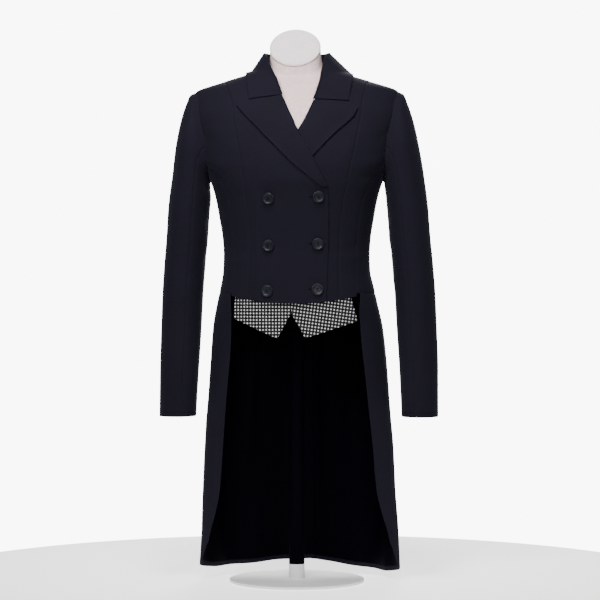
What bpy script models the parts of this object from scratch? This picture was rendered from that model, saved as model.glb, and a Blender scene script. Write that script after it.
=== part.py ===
"""Shadbelly coat on a limbless dress form, as solids at real size, in metres, +Z up.

The coat faces -Y and stands over the origin. Left and right are the wearer's, so the
wearer's right is at -X. Tables and sizes are in millimetres. The body of the coat is one
surface of horizontal sections: each level has a half width, a front depth and a back depth,
and its outline is a superellipse. Every panel is a wall on that surface between two seams.
"""

import math

import bmesh
import bpy
import numpy as np

MM = 0.001
RIGHT, LEFT = -1, 1
SIDE_NAMES = {RIGHT: "right", LEFT: "left"}

# Cloth walls and the gaps between pieces
WALL = 1.6
FRONT_WALL = 2.6
LINING_WALL = 1.0
SEAM_GAP = 0.3
LAYER_GAP = 0.4

# Heights of the main lines
NECK_LINE = 990.0
SHOULDER_TIP = 944.0
UNDERARM = 772.0
WAIST_SEAM = 556.0
FRONT_HEM_MIDDLE = 536.0
FRONT_HEM_RISE = 13.0
FRONT_HEM_HALF = 115.0
HEM = 28.0

# Armhole, an egg in side view
ARM_FRONT = 58.0
ARM_BACK = 58.0
ARM_POWER = 2.2
ARM_EGG = 0.22
ARM_MIDDLE = (SHOULDER_TIP + UNDERARM) / 2
ARM_HALF = (SHOULDER_TIP - UNDERARM) / 2

# Levels at which every panel has a row, so that neighbours share their seams' points
LEVELS = (989.5, 983, 974, 965, 955, SHOULDER_TIP, 938, 925, 905, 882, 858, 833, 811, 794, 781,
          764, 735, 700, 662, 642, 622, 588, WAIST_SEAM)
ARM_LEVELS = (SHOULDER_TIP, 938, 925, 905, 882, 858, 833, 811, 794, 781, 774)
PRINCESS_TOP = 966
PRINCESS_TOP_ROW = 965
PRINCESS_MARGIN = 0.04
SIDE_SEAM_TOP = 794
BACK_SEAM_TOP = 833
SIDE_BODY_REGULAR = 735
SIDE_SEAM_ROWS = (SIDE_SEAM_TOP, 789, 785, 781, 764)

# Laps: how far the top layer is lifted, and where
FRONT_LAP_LIFT = FRONT_WALL + 2 * LAYER_GAP
LAPEL_LIFT = WALL + 2 * LAYER_GAP
LAPEL_GAP = 0.7
LAP_START = -83.0
LAP_MARGIN = 5.0
LAP_FADE = (866, 908)
LAPEL_UNDER_LAP = (742, 776)
VENT_LIFT = WALL + LINING_WALL + 6 * LAYER_GAP
VENT_LIFT_FADE = (30, 48)
VENT_OVERLAP = 3.0
VENT_UNDERLAP = 22.0
LINING_GAP = 0.8
LINING_EDGE = 9.0
LINING_VENT_EDGE = 4.0

# Buttons, vest points, form and stand
BUTTON_RADIUS = 11.0
BUTTON_SIDES = 16
VEST_TUCK = 12.0
FORM_BOTTOM = 566.0
FORM_SIDES = 28
FORM_CLEARANCE = WALL + 2.2
FORM_SHOULDER_LEVEL = 935.0
FORM_SHOULDER_CLEARANCE = WALL + 0.6
CAP_TILT = math.radians(52)
POLE_RADIUS = 15.0
BASE_RADIUS = 130.0
BASE_THICKNESS = 6.0
STAND_SIDES = 32
STAND_BEVEL = 1.5

# Grids of the panels: columns of points across each piece
FRONT_COLUMNS = 9
SIDE_FRONT_COLUMNS = 6
BACK_COLUMNS = 8
LAPEL_ROWS, LAPEL_COLUMNS = 13, 7
COLLAR_SECTIONS = 13
TAIL_ROWS, TAIL_COLUMNS = 13, 16
TAIL_ROW_POWER = 0.93
VEST_ROWS, VEST_COLUMNS = 5, 9

# Middle of the object's box, which becomes x = y = 0
BOX_MIDDLE = (5.0, -3.2)


def smooth(keys, values, at):
    """Monotone cubic through (keys, values): slopes are harmonic means of the neighbours."""
    keys = np.asarray(keys, float)
    values = np.asarray(values, float)
    if keys[0] > keys[-1]:
        keys, values = keys[::-1], values[::-1]
    step = np.diff(keys)
    rise = np.diff(values) / step
    slope = np.zeros_like(values)
    same = rise[:-1] * rise[1:] > 0
    slope[1:-1][same] = 2 * rise[:-1][same] * rise[1:][same] / (rise[:-1] + rise[1:])[same]
    slope[0], slope[-1] = rise[0], rise[-1]
    at = np.clip(np.asarray(at, float), keys[0], keys[-1])
    i = np.clip(np.searchsorted(keys, at) - 1, 0, len(keys) - 2)
    t = (at - keys[i]) / step[i]
    return ((1 + 2 * t) * (1 - t) ** 2 * values[i] + t * (1 - t) ** 2 * step[i] * slope[i]
            + t * t * (3 - 2 * t) * values[i + 1] + t * t * (t - 1) * step[i] * slope[i + 1])


def ramp(value, start, full):
    """0 before start, 1 after full, with a soft S between."""
    t = np.clip((np.asarray(value, float) - start) / (full - start), 0, 1)
    return t * t * (3 - 2 * t)


class Table:
    """Rows of numbers with named columns, read by the first column."""

    def __init__(self, columns, *rows):
        self.columns = {name: np.array([row[i] for row in rows], float)
                        for i, name in enumerate(columns)}
        self.keys = self.columns[columns[0]]

    def at(self, name, key):
        return smooth(self.keys, self.columns[name], key)


BODY = Table(
    ("z", "half_width", "front", "back", "power", "lean"),
    (990, 62, 50, 60, 2.0, 0),
    (980, 90, 56, 66, 2.0, 0),
    (963, 145, 64, 74, 2.0, 0),
    (944, 196, 74, 82, 2.05, 0),
    (920, 203, 87, 92, 2.15, 0),
    (900, 205, 98, 99, 2.2, 0),
    (880, 202, 108, 104, 2.2, 0),
    (855, 193.5, 118, 108, 2.3, 0),
    (820, 185.5, 127, 110, 2.3, 0),
    (790, 174, 130, 110, 2.4, 0),
    (770, 165.5, 130, 109, 2.4, 0),
    (740, 156.5, 126, 106, 2.35, 0),
    (700, 149, 119, 99, 2.3, 0),
    (662, 143, 112, 93, 2.3, 0),
    (630, 141, 109, 90, 2.3, 0),
    (600, 142, 109, 91, 2.3, 0),
    (566, 148.5, 110, 97, 2.3, 1),
    (536, 155.5, 110, 103, 2.3, 1),
    (489, 165, 97, 110, 2.3, 2),
    (412, 172, 84, 116, 2.3, 3),
    (334, 177, 70, 119, 2.2, 3),
    (257, 182, 58, 121, 2.2, 4),
    (180, 185, 48, 123, 2.1, 4),
    (102, 189, 38, 125, 2.0, 5),
    (HEM, 191, 30, 126, 2.0, 5),
)

# x of the seams on the front half, as distances from the middle, and how the front leans
FRONT_SEAMS = Table(
    ("z", "princess", "side", "lean"),
    (966, 143, 260, 0),
    (955, 134, 260, 1),
    (920, 124, 260, 4),
    (882, 119, 260, 5),
    (850, 113, 230, 5),
    (814, 106, 190, 5),
    (794, 102, 170, 4),
    (781, 100, 152, 4),
    (764, 97, 140, 4),
    (731, 91, 126, 2),
    (686, 86, 120, 1),
    (615, 84, 116, 0),
    (562, 86, 119, -1),
    (536, 88, 121, -2),
)

# Back seams: distance of the seam between side body and back from the middle
BACK_SEAM = Table(
    ("z", "half"),
    (990, 260),
    (850, 230),
    (833, 190),
    (811, 152),
    (781, 128),
    (735, 104),
    (662, 78),
    (600, 70),
    (536, 74),
)

# Inner edges of the two fronts: the V opening, then the front edge, as x at each height
RIGHT_EDGE = Table(
    ("z", "x"),
    (990, -56), (964, -38), (932, -25), (887, -5), (858, 8), (831, 24), (809, 35),
    (787, 46), (764, 58), (751, 64), (729, 65.5), (657, 65), (608, 63), (530, 60.5),
)
LEFT_EDGE = Table(
    ("z", "x"),
    (990, 57), (949, 47), (911, 33.5), (891, 25), (858, 8), (831, -6), (787, -29),
    (751, -52), (729, -60), (530, -61),
)

# Lapels: the roll line follows the front's edge, and outer_x at outer_z is the free edge
LAPELS = {
    RIGHT: Table(
        ("step", "roll_z", "outer_x", "outer_z"),
        (0.0, 931, -110, 912),
        (0.12, 915, -94, 893),
        (0.25, 895, -77, 875),
        (0.38, 874, -54, 851),
        (0.52, 848, -30, 827),
        (0.66, 822, -5, 802),
        (0.80, 795, 22, 780),
        (0.91, 772, 43, 763),
        (1.0, 757, 55, 754),
    ),
    LEFT: Table(
        ("step", "roll_z", "outer_x", "outer_z"),
        (0.0, 921, 120, 906),
        (0.12, 908, 112, 890),
        (0.25, 893, 98, 875),
        (0.40, 872, 78, 857),
        (0.55, 850, 55, 833),
        (0.70, 828, 32, 808),
        (0.85, 803, 12, 790),
        (1.0, 782, -12, 775),
    ),
}

# Where the collar's edge meets each lapel: its share of the top edge and how far it rises there
NOTCHES = {RIGHT: (0.69, 2.2), LEFT: (0.79, 6.5)}

# Collar sections from the gorge to the middle of the back. In front the base follows the V
# opening at base_z; round the neck it is given outright. The fall ends at the outer edge.
COLLAR = Table(
    ("turn", "base_x", "base_y", "base_z", "stand", "upright", "edge_x", "edge_y", "edge_z"),
    (0.0, 27, -78, 931.6, 2.6, 0, 89, -72, 920.8),
    (0.14, 36, -66, 952, 4.0, 0.1, 91, -62, 936),
    (0.28, 46, -44, 976, 9, 0.5, 94, -42, 955),
    (0.38, 54.5, -26, 991.8, 18, 0.9, 96, -22, 969),
    (0.52, 61.5, -2, 992, 26, 1, 97, 4, 976),
    (0.66, 56, 28, 992, 28, 1, 90, 38, 971),
    (0.83, 33, 51, 992, 28, 1, 52, 72, 958),
    (1.0, 0, 60, 992, 28, 1, 0, 84, 953),
)
COLLAR_SPREAD = {RIGHT: -4.0, LEFT: 12.0}
COLLAR_SPREAD_FADE = (0.45, 0.95)
GORGE_DROP = {RIGHT: (0.0, 0.0), LEFT: (-9.0, -3.8)}
GORGE_DROP_FADE = (0, 0.3)
GORGE_INSET, GORGE_DEPTH = 2.4, -1.0
COLLAR_LEAVES_EDGE = (0.16, 0.46)
COLLAR_ROLL = WALL / 2 + 0.6
COLLAR_ROLL_TURNS = (50, 90, 130)
COLLAR_REST = WALL / 2 + LAPEL_GAP
COLLAR_EASE = 1.4
COLLAR_EASE_START = (0.02, 0.2)
COLLAR_FALL_ROWS = 6

# Sleeve rings: the outer and inner points in front view, the depth and the middle's y
SLEEVE = Table(
    ("step", "outer_x", "outer_z", "inner_x", "inner_z", "depth", "middle_y", "swing"),
    (0, 196, 944, 165.5, 772, 116, 0, 0),
    (1, 206, 939, 167.5, 769.5, 124, 0, 0),
    (2, 214, 921, 168.5, 766, 132, 0, 0),
    (3, 224, 890, 169, 761, 138, 0, 0.5),
    (4, 234.5, 842, 169.2, 753, 142, 1, 1),
    (5, 243.5, 780, 169.5, 741, 141, 1, 2.5),
    (6, 251, 721, 172, 712, 137, 1, 2.5),
    (7, 255, 663, 176, 658, 131, 0, 3),
    (8, 259.5, 612, 181, 608, 125, -2, 3.5),
    (9, 263, 560, 185, 556, 119, -5, 4),
    (10, 265.5, 489, 188.5, 486, 111, -11, 4.5),
    (11, 267.4, 412, 193, 410, 103, -19, 5),
    (12, 267.4, 350, 196, 349, 97, -26, 5),
    (13, 267.4, 320.5, 197.2, 320.5, 95, -29, 5),
)
SLEEVE_POWER = 2.2
SLEEVE_LAST = 13
SLEEVE_STEPS = (0, 0.6, 1.3, 2.1, 3, 4, 5, 6.4, 7.8, 9.4, 11, SLEEVE_LAST)
SLEEVE_DRAWN_STEPS = 3.2
SLEEVE_SEAM_LEVEL = 833

# Tails: the front edge as a share of the half width, at each height
TAIL_EDGE = Table(
    ("z", "share"),
    (556, 0.82), (506, 0.755), (457, 0.742), (398, 0.757), (333, 0.775), (269, 0.79),
    (178, 0.815), (134, 0.855), (101, 0.90), (66, 0.935), (HEM, 0.955),
)
# Soft folds that open towards the hem: place and width in degrees round from the front
TAIL_FOLDS = Table(
    ("place", "width", "depth"),
    (96, 9, 4),
    (116, 9, -5),
    (134, 8, 4),
    (151, 9, -6),
    (167, 8, 3),
)
FOLD_TOP = 470.0
FOLD_POWER = 1.6
# Height of the hem from the rounded front corner (0) to the middle back (1)
HEM_LINE = Table(
    ("share", "right_z", "left_z"),
    (0, 78, 78),
    (0.05, 56, 54),
    (0.11, 40, 37),
    (0.19, 29, 25),
    (0.30, 23, 18),
    (0.45, 20, 14),
    (0.62, 21, 16),
    (0.80, 26, 22),
    (1.0, 29, 29),
)

# Vest points in front view: outer end, tip and the notch in the middle
VEST = {
    RIGHT: dict(outer_x=-116, outer_z=508, tip_x=-31, tip_z=470, inner_x=-5.5, inner_z=516),
    LEFT: dict(outer_x=116, outer_z=504, tip_x=21, tip_z=471, inner_x=-4.5, inner_z=516),
}

# Buttons: their places, and how far the back of each stands off the front's own surface
BUTTON_PLACES = Table(
    ("row", "right_x", "left_x", "right_z", "left_z", "gap"),
    (0, -46, 46.5, 734, 737, 0.9),
    (1, -47, 44.5, 646, 649, 0.9),
    (2, -49, 44, 560, 563, 0.6),
)

# Profile of a button: how far each ring lies inside the radius, and its height
BUTTON_PROFILE = ((0.8, 0), (0, 0.9), (0, 2.8), (1.0, 3.8), (2.2, 3.8), (3.4, 2.9))

# Dress form above the chest: tilted rings, with a rise from front to back
FORM_NECK = Table(
    ("step", "x", "y", "z", "half_width", "front", "back", "slope", "power"),
    (0, -2.5, -8, 1028, 48.8, 29.8, 29.8, 1.29, 2.0),
    (1, -2.0, -4, 1006, 49.5, 36, 37, 0.86, 2.0),
    (2, -1.0, 0, 985, 54, 42, 42, 0.34, 2.0),
    (3, 0, 0, 972, 98, 46, 50, 0.12, 2.0),
    (4, 0, 0, 957, 152, 51, 60, 0.06, 2.0),
    (5, 0, 0, 940, 178, 60, 72, 0.03, 2.1),
    (6, 0, 0, 922, 183, 72, 84, 0.0, 2.2),
    (7, 0, 0, 902, 181, 86, 93, 0.0, 2.2),
    (8, 0, 0, 880, 178, 100, 99, 0.0, 2.2),
)
FORM_LEVELS = (855, 820, 790, 768, 740, 705, 670, 635, 600, FORM_BOTTOM)
# Neck cap on the top ring: size of each ring and how far it lies out along the tilt
NECK_CAP = ((1.0, 0.3), (1.0, 2.2), (0.96, 4.2), (0.80, 5.6), (0.45, 6.4))

# Colour, roughness and metallic of each finish
FINISHES = {
    "navy suiting": ((0.016, 0.016, 0.027), 0.9, 0.0),
    "black lining": ((0.002, 0.002, 0.004), 0.55, 0.0),
    "black and white check": ((0.25, 0.25, 0.26), 0.85, 0.0),
    "navy button plastic": ((0.026, 0.028, 0.038), 0.35, 0.0),
    "natural linen": ((0.60, 0.52, 0.53), 0.95, 0.0),
    "pale cap linen": ((0.78, 0.73, 0.74), 0.95, 0.0),
    "coated steel": ((0.01, 0.01, 0.01), 0.6, 0.2),
}


def clear_scene():
    for thing in list(bpy.data.objects):
        bpy.data.objects.remove(thing, do_unlink=True)


def material(name):
    colour, roughness, metallic = FINISHES[name]
    made = bpy.data.materials.new(name)
    made.use_nodes = True
    shader = made.node_tree.nodes["Principled BSDF"]
    shader.inputs["Base Color"].default_value = (*colour, 1.0)
    shader.inputs["Roughness"].default_value = roughness
    shader.inputs["Metallic"].default_value = metallic
    return made


def body_point(z, angle, side):
    """Point of the body surface: angle 0 is the middle front, a half turn the middle back."""
    z, angle = np.broadcast_arrays(np.asarray(z, float), np.asarray(angle, float))
    root = 2 / BODY.at("power", z)
    across = np.sign(np.sin(angle)) * np.abs(np.sin(angle)) ** root
    along = np.abs(np.cos(angle)) ** root
    depth = np.where(np.cos(angle) >= 0, -BODY.at("front", z), BODY.at("back", z))
    x = BODY.at("lean", z) + side * BODY.at("half_width", z) * across
    return np.stack([x, depth * along, z], axis=-1)


def body_normal(z, angle, side):
    """Outward unit normal of the body surface, from small steps of its two parameters."""
    z, angle = np.broadcast_arrays(np.asarray(z, float), np.asarray(angle, float))
    low = np.clip(z - 1.0, HEM, NECK_LINE)
    high = np.clip(z + 1.0, HEM, NECK_LINE)
    up = body_point(high, angle, side) - body_point(low, angle, side)
    round_ = body_point(z, angle + 0.02, side) - body_point(z, angle - 0.02, side)
    normal = side * np.cross(round_, up)
    return normal / np.linalg.norm(normal, axis=-1, keepdims=True)


def angle_at_x(z, x, side):
    """Angle on the front half of the section at z where it passes x."""
    share = np.clip(side * (x - BODY.at("lean", z)) / BODY.at("half_width", z), -1, 1)
    return np.sign(share) * np.arcsin(np.abs(share) ** (BODY.at("power", z) / 2))


def angle_at_y(z, y):
    """Angle of the section at z where it passes y, negative y being the front."""
    depth = np.where(np.asarray(y) < 0, BODY.at("front", z), BODY.at("back", z))
    share = np.clip(np.abs(y) / depth, 0, 1) ** (BODY.at("power", z) / 2)
    return np.arccos(-np.sign(y) * share)


def armhole_y(z, depth, egg):
    """Depth of the armhole egg at z, 0 at its top and bottom."""
    turn = np.clip((z - ARM_MIDDLE) / ARM_HALF, -1, 1)
    return depth * (1 - np.abs(turn) ** ARM_POWER) ** (1 / ARM_POWER) * (1 - egg * turn)


def front_limit(z):
    """Angle where the front half ends: shoulder seam, armhole or the middle of the side."""
    hole = angle_at_y(z, -armhole_y(z, ARM_FRONT, ARM_EGG))
    inside = (z < SHOULDER_TIP) & (z > UNDERARM)
    return np.where(inside, hole, math.pi / 2)


def back_limit(z):
    """Angle where the back half starts: shoulder seam, armhole or the middle of the side."""
    hole = angle_at_y(z, armhole_y(z, ARM_BACK, 0.0))
    inside = (z < SHOULDER_TIP) & (z > UNDERARM)
    return np.where(inside, hole, math.pi / 2)


def princess_angle(z, side):
    x = FRONT_SEAMS.at("lean", z) + side * FRONT_SEAMS.at("princess", z)
    below = np.minimum(angle_at_x(z, x, side), front_limit(z) - PRINCESS_MARGIN)
    return np.where(z > PRINCESS_TOP, front_limit(z), below)


def side_seam_angle(z, side):
    x = FRONT_SEAMS.at("lean", z) + side * FRONT_SEAMS.at("side", z)
    return np.minimum(angle_at_x(z, x, side), front_limit(z))


def back_seam_angle(z):
    share = np.clip(BACK_SEAM.at("half", z) / BODY.at("half_width", z), 0, 1)
    return np.maximum(math.pi - np.arcsin(share ** (BODY.at("power", z) / 2)), back_limit(z))


def front_hem(x):
    return FRONT_HEM_MIDDLE + FRONT_HEM_RISE * (x / FRONT_HEM_HALF) ** 2


def front_lift(x, z, side):
    """How far a front lies outside the body surface: the wearer's right laps over."""
    if side == LEFT:
        return np.zeros_like(x)
    full = LEFT_EDGE.at("x", z) - LAP_MARGIN
    over = ramp((x - LAP_START) / (full - LAP_START), 0, 1) * (1 - ramp(z, *LAP_FADE))
    return over * (FRONT_LAP_LIFT + LAPEL_LIFT * ramp(z, *LAPEL_UNDER_LAP))


def trim(points, top=SEAM_GAP / 2, bottom=SEAM_GAP / 2, start=SEAM_GAP / 2, end=SEAM_GAP / 2):
    """Draw a grid's edges in along its own lines, so that pieces stay apart at seams."""
    points = points.copy()
    for axis, index, inner, gap in ((0, 0, 1, top), (0, -1, -2, bottom),
                                    (1, 0, 1, start), (1, -1, -2, end)):
        edge = points.take(index, axis)
        way = points.take(inner, axis) - edge
        way /= np.maximum(np.linalg.norm(way, axis=-1, keepdims=True), 1e-6)
        if axis == 0:
            points[index] = edge + way * gap
        else:
            points[:, index] = edge + way * gap
    return points


def grid_normals(points):
    """Unit normals of a grid of points, from its own lines."""
    normal = np.cross(np.gradient(points, axis=1), np.gradient(points, axis=0))
    return normal / np.maximum(np.linalg.norm(normal, axis=-1, keepdims=True), 1e-9)


def build(name, points, faces, finish):
    """One closed mesh object, in metres, with its faces turned outwards."""
    mesh = bpy.data.meshes.new(name)
    points = np.asarray(points) - np.array([*BOX_MIDDLE, 0.0])
    mesh.from_pydata([tuple(p) for p in points * MM], [], faces)
    work = bmesh.new()
    work.from_mesh(mesh)
    bmesh.ops.recalc_face_normals(work, faces=work.faces)
    work.to_mesh(mesh)
    work.free()
    mesh.materials.append(finish)
    mesh.shade_smooth()
    mesh.set_sharp_from_angle(angle=math.radians(40))
    made = bpy.data.objects.new(name, mesh)
    bpy.context.scene.collection.objects.link(made)
    return made


def wall(name, points, normals, inner, outer, finish):
    """Closed wall between two offsets of a grid of points along their normals."""
    rows, columns = points.shape[:2]
    layers = [points + normals * np.expand_dims(np.broadcast_to(d, (rows, columns)), -1)
              for d in (outer, inner)]
    number = np.arange(2 * rows * columns).reshape(2, rows, columns)
    faces = []
    for layer in number:
        for i in range(rows - 1):
            for j in range(columns - 1):
                faces.append((layer[i, j], layer[i, j + 1], layer[i + 1, j + 1], layer[i + 1, j]))
    rim = ([(0, j) for j in range(columns)] + [(i, columns - 1) for i in range(1, rows)]
           + [(rows - 1, j) for j in range(columns - 2, -1, -1)]
           + [(i, 0) for i in range(rows - 2, 0, -1)])
    for (i, j), (k, m) in zip(rim, rim[1:] + rim[:1]):
        faces.append((number[0, i, j], number[0, k, m], number[1, k, m], number[1, i, j]))
    faces = [tuple(int(v) for v in face) for face in faces]
    return build(name, np.concatenate([layer.reshape(-1, 3) for layer in layers]), faces, finish)


def turned(name, rings, finish):
    """Closed solid through rings of equally many points, with flat ends."""
    rings = np.asarray(rings)
    count, sides = rings.shape[:2]
    number = np.arange(count * sides).reshape(count, sides)
    faces = [tuple(int(v) for v in number[0]), tuple(int(v) for v in number[-1])]
    for i in range(count - 1):
        for j in range(sides):
            k = (j + 1) % sides
            faces.append(tuple(int(v) for v in (number[i, j], number[i, k],
                                                number[i + 1, k], number[i + 1, j])))
    return build(name, rings.reshape(-1, 3), faces, finish)


def panel_grid(levels, columns, start, end, side, hem=False):
    """Rows of z and angle between two seams, with the curved front hem as a last row."""
    z = np.repeat(np.array(levels, float)[:, None], columns, 1)
    angle = start(z) + (end(z) - start(z)) * np.linspace(0, 1, columns)
    if hem:
        z = np.vstack([z, front_hem(body_point(z[-1], angle[-1], side)[:, 0])[None]])
        angle = np.vstack([angle, angle[-1:]])
    return z, angle


def centre_front(side, finish):
    """The double-breasted front from its edge to the princess seam, up to the shoulder."""
    edge = RIGHT_EDGE if side == RIGHT else LEFT_EDGE
    z, angle = panel_grid(LEVELS, FRONT_COLUMNS, lambda z: angle_at_x(z, edge.at("x", z), side),
                          lambda z: princess_angle(z, side), side, hem=True)
    points, normals = body_point(z, angle, side), body_normal(z, angle, side)
    lift = front_lift(points[..., 0], z, side)
    return wall("front_" + SIDE_NAMES[side], trim(points), normals, lift - FRONT_WALL, lift,
                finish)


def side_front(side, finish):
    """Between the princess seam and the seam of the side body, with the armhole's front."""
    levels = LEVELS[LEVELS.index(PRINCESS_TOP_ROW):]
    z, angle = panel_grid(levels, SIDE_FRONT_COLUMNS, lambda z: princess_angle(z, side),
                          lambda z: side_seam_angle(z, side), side, hem=True)
    return wall("side_front_" + SIDE_NAMES[side], trim(body_point(z, angle, side)),
                body_normal(z, angle, side), -WALL, 0, finish)


def back(side, finish):
    """The back from the side body to the middle seam, up to the shoulder seam."""
    z, angle = panel_grid(LEVELS, BACK_COLUMNS, back_seam_angle,
                          lambda z: np.full_like(z, math.pi), side)
    return wall("back_" + SIDE_NAMES[side], trim(body_point(z, angle, side)),
                body_normal(z, angle, side), -WALL, 0, finish)


def armhole_turns():
    """Turns of the armhole's points: down the front, the underarm, and up the back."""
    down = np.arccos((np.array(ARM_LEVELS) - ARM_MIDDLE) / ARM_HALF) * 2 / math.pi
    return np.concatenate([down, [2.0], 4 - down[:0:-1]])


def along_seam(z, seam, side):
    """Points at heights z on the straight lines between a seam's points at LEVELS."""
    levels = np.array(LEVELS, float)[::-1]
    nodes = body_point(levels, seam(levels), side)
    return np.stack([np.interp(z, levels, nodes[:, k]) for k in range(3)], axis=-1)


def side_body(side, finish):
    """The narrow panel under the arm, whose top edge is the bottom of the armhole."""
    turns = armhole_turns()
    first = ARM_LEVELS.index(SIDE_SEAM_TOP)
    last = len(turns) - ARM_LEVELS.index(BACK_SEAM_TOP)
    top = armhole_curve(turns[first:last + 1], side)
    top_angle = angle_at_y(top[:, 2], top[:, 1])
    share = np.linspace(0, 1, len(top))

    def front_seam(z):
        return side_seam_angle(z, side)

    def between_seams(z):
        return front_seam(z) + (back_seam_angle(z) - front_seam(z)) * share

    upper = len(SIDE_SEAM_ROWS)
    high = np.linspace(0, 1, upper, endpoint=False)[:, None]
    low = np.array(LEVELS[LEVELS.index(SIDE_BODY_REGULAR):], float)[:, None]
    z = np.vstack([top[:, 2] + (SIDE_BODY_REGULAR - top[:, 2]) * high, low + 0 * share])
    z[:upper, -1] = LEVELS[LEVELS.index(BACK_SEAM_TOP):LEVELS.index(SIDE_BODY_REGULAR)]
    z[:upper, 0] = SIDE_SEAM_ROWS
    at_level = between_seams(np.full((1, len(top)), float(SIDE_BODY_REGULAR)))
    angle = np.vstack([top_angle + (at_level - top_angle) * high, between_seams(z)[upper:]])
    points, normals = body_point(z, angle, side), body_normal(z, angle, side)
    for column, seam in ((0, front_seam), (-1, back_seam_angle)):
        points[:, column] = along_seam(z[:, column], seam, side)
        normals[:, column] = body_normal(z[:, column], seam(z[:, column]), side)
    return wall("side_body_" + SIDE_NAMES[side], trim(points), normals, -WALL, 0, finish)


def on_front(x, z, side, lift):
    """Points of the front half at (x, z), moved out, with the normals there."""
    angle = angle_at_x(z, x, side)
    normals = body_normal(z, angle, side)
    return body_point(z, angle, side) + normals * lift[..., None], normals


def lapel(side, finish):
    """The turned-back lapel, on its front's points, from the roll line to the free edge."""
    table, edge = LAPELS[side], (RIGHT_EDGE if side == RIGHT else LEFT_EDGE)
    step = np.linspace(0, 1, LAPEL_ROWS)[:, None]
    share = np.linspace(0, 1, LAPEL_COLUMNS)
    roll_z = table.at("roll_z", step)
    z = roll_z + (table.at("outer_z", step) - roll_z) * share
    place, rise = NOTCHES[side]
    peak = rise * np.minimum(share / place, (1 - share) / (1 - place))
    z = z + peak * np.clip(1 - step / table.keys[1], 0, 1)
    x = edge.at("x", roll_z) + (table.at("outer_x", step) - edge.at("x", roll_z)) * share
    lift = front_lift(x, z, side) + LAPEL_GAP
    points, normals = on_front(x, z, side, lift)
    return wall("lapel_" + SIDE_NAMES[side], points, normals, 0, WALL, finish)


def body_distance(points):
    """Signed distance to the body surface, near it, with its outward direction."""
    def level(p):
        z = np.clip(p[..., 2], HEM, NECK_LINE)
        depth = np.where(p[..., 1] < 0, BODY.at("front", z), BODY.at("back", z))
        power = BODY.at("power", z)
        x = np.abs(p[..., 0] - BODY.at("lean", z)) / BODY.at("half_width", z)
        return (x ** power + (np.abs(p[..., 1]) / depth) ** power) ** (1 / power) - 1

    slope = np.stack([(level(points + step) - level(points - step)) / 0.4
                      for step in 0.2 * np.eye(3)], axis=-1)
    size = np.maximum(np.linalg.norm(slope, axis=-1, keepdims=True), 1e-9)
    return level(points)[..., None] / size, slope / size


def keep_outside(points, gap):
    """Move points out until they are at least gap outside the body surface."""
    for _ in range(8):
        distance, way = body_distance(points)
        below = points[..., 2:] < NECK_LINE
        points = points + np.where(below, np.maximum(gap - distance, 0), 0) * way
    return points


def keep_inside(points, gap):
    """Move points in until they are at least gap inside the body surface."""
    for _ in range(8):
        distance, way = body_distance(points)
        below = points[..., 2:] < NECK_LINE + 2
        points = points - np.where(below, np.maximum(gap + distance, 0), 0) * way
    return points


def unit(vectors):
    return vectors / np.maximum(np.linalg.norm(vectors, axis=-1, keepdims=True), 1e-9)


def collar_sections(side, count):
    """Cross-sections of half the collar, from the gorge to the middle of the back."""
    turn = np.linspace(0, 1, count)
    get = {name: COLLAR.at(name, turn) for name in COLLAR.columns}
    drop = 1 - ramp(turn, *GORGE_DROP_FADE)
    get["base_z"] = get["base_z"] + GORGE_DROP[side][0] * drop
    get["edge_z"] = get["edge_z"] + GORGE_DROP[side][1] * drop
    edge_table = RIGHT_EDGE if side == RIGHT else LEFT_EDGE
    v_level = np.minimum(get["base_z"], NECK_LINE - 6)
    on_v = edge_table.at("x", v_level) - side * GORGE_INSET
    v_points, v_normals = on_front(on_v, v_level, side, np.full(count, GORGE_DEPTH))
    given = np.stack([side * get["base_x"], get["base_y"], get["base_z"]], -1)
    free = ramp(turn, *COLLAR_LEAVES_EDGE)[:, None]
    base = v_points + (given - v_points) * free
    spread = COLLAR_SPREAD[side] * (1 - ramp(turn, *COLLAR_SPREAD_FADE))
    edge = np.stack([side * (get["edge_x"] + spread), get["edge_y"], get["edge_z"]], -1)
    upright = get["upright"][:, None]
    rise = unit(v_normals * (1 - upright) + np.array([0.0, 0.0, 1.0]) * upright)
    out = edge - base
    out = unit(out - (out * rise).sum(-1, keepdims=True) * rise)
    top = base + rise * get["stand"][:, None]
    rows = [base, (base + top) / 2, top]
    for degrees in COLLAR_ROLL_TURNS:
        a = math.radians(degrees)
        rows.append(top + out * COLLAR_ROLL * (1 - math.cos(a)) + rise * COLLAR_ROLL * math.sin(a))
    start = top + out * 2 * COLLAR_ROLL
    rest = COLLAR_REST + COLLAR_EASE * ramp(turn, *COLLAR_EASE_START)[:, None]
    for share in np.linspace(0, 1, COLLAR_FALL_ROWS):
        rows.append(keep_outside(start + (edge - start) * share, rest))
    return np.stack(rows, axis=0)


def collar(finish):
    """One folded piece: a stand round the neck, a tight roll, and the fall over the shoulders."""
    right, left = (collar_sections(side, COLLAR_SECTIONS) for side in (RIGHT, LEFT))
    right[:, -1] = (right[:, -1] + left[:, -1]) / 2
    points = np.concatenate([right, left[:, -2::-1]], axis=1)
    return wall("collar", points, grid_normals(points), -WALL / 2, WALL / 2, finish)


def armhole_curve(turn, side):
    """The armhole seam: turn 0 is the shoulder tip, 1 the middle front, 2 the underarm."""
    angle = turn * math.pi / 2
    z = ARM_MIDDLE + ARM_HALF * np.cos(angle)
    front = np.sin(angle) >= 0
    y = np.where(front, -armhole_y(z, ARM_FRONT, ARM_EGG), armhole_y(z, ARM_BACK, 0.0))
    return body_point(z, angle_at_y(z, np.where(y == 0, -1e-6, y)), side)


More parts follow.
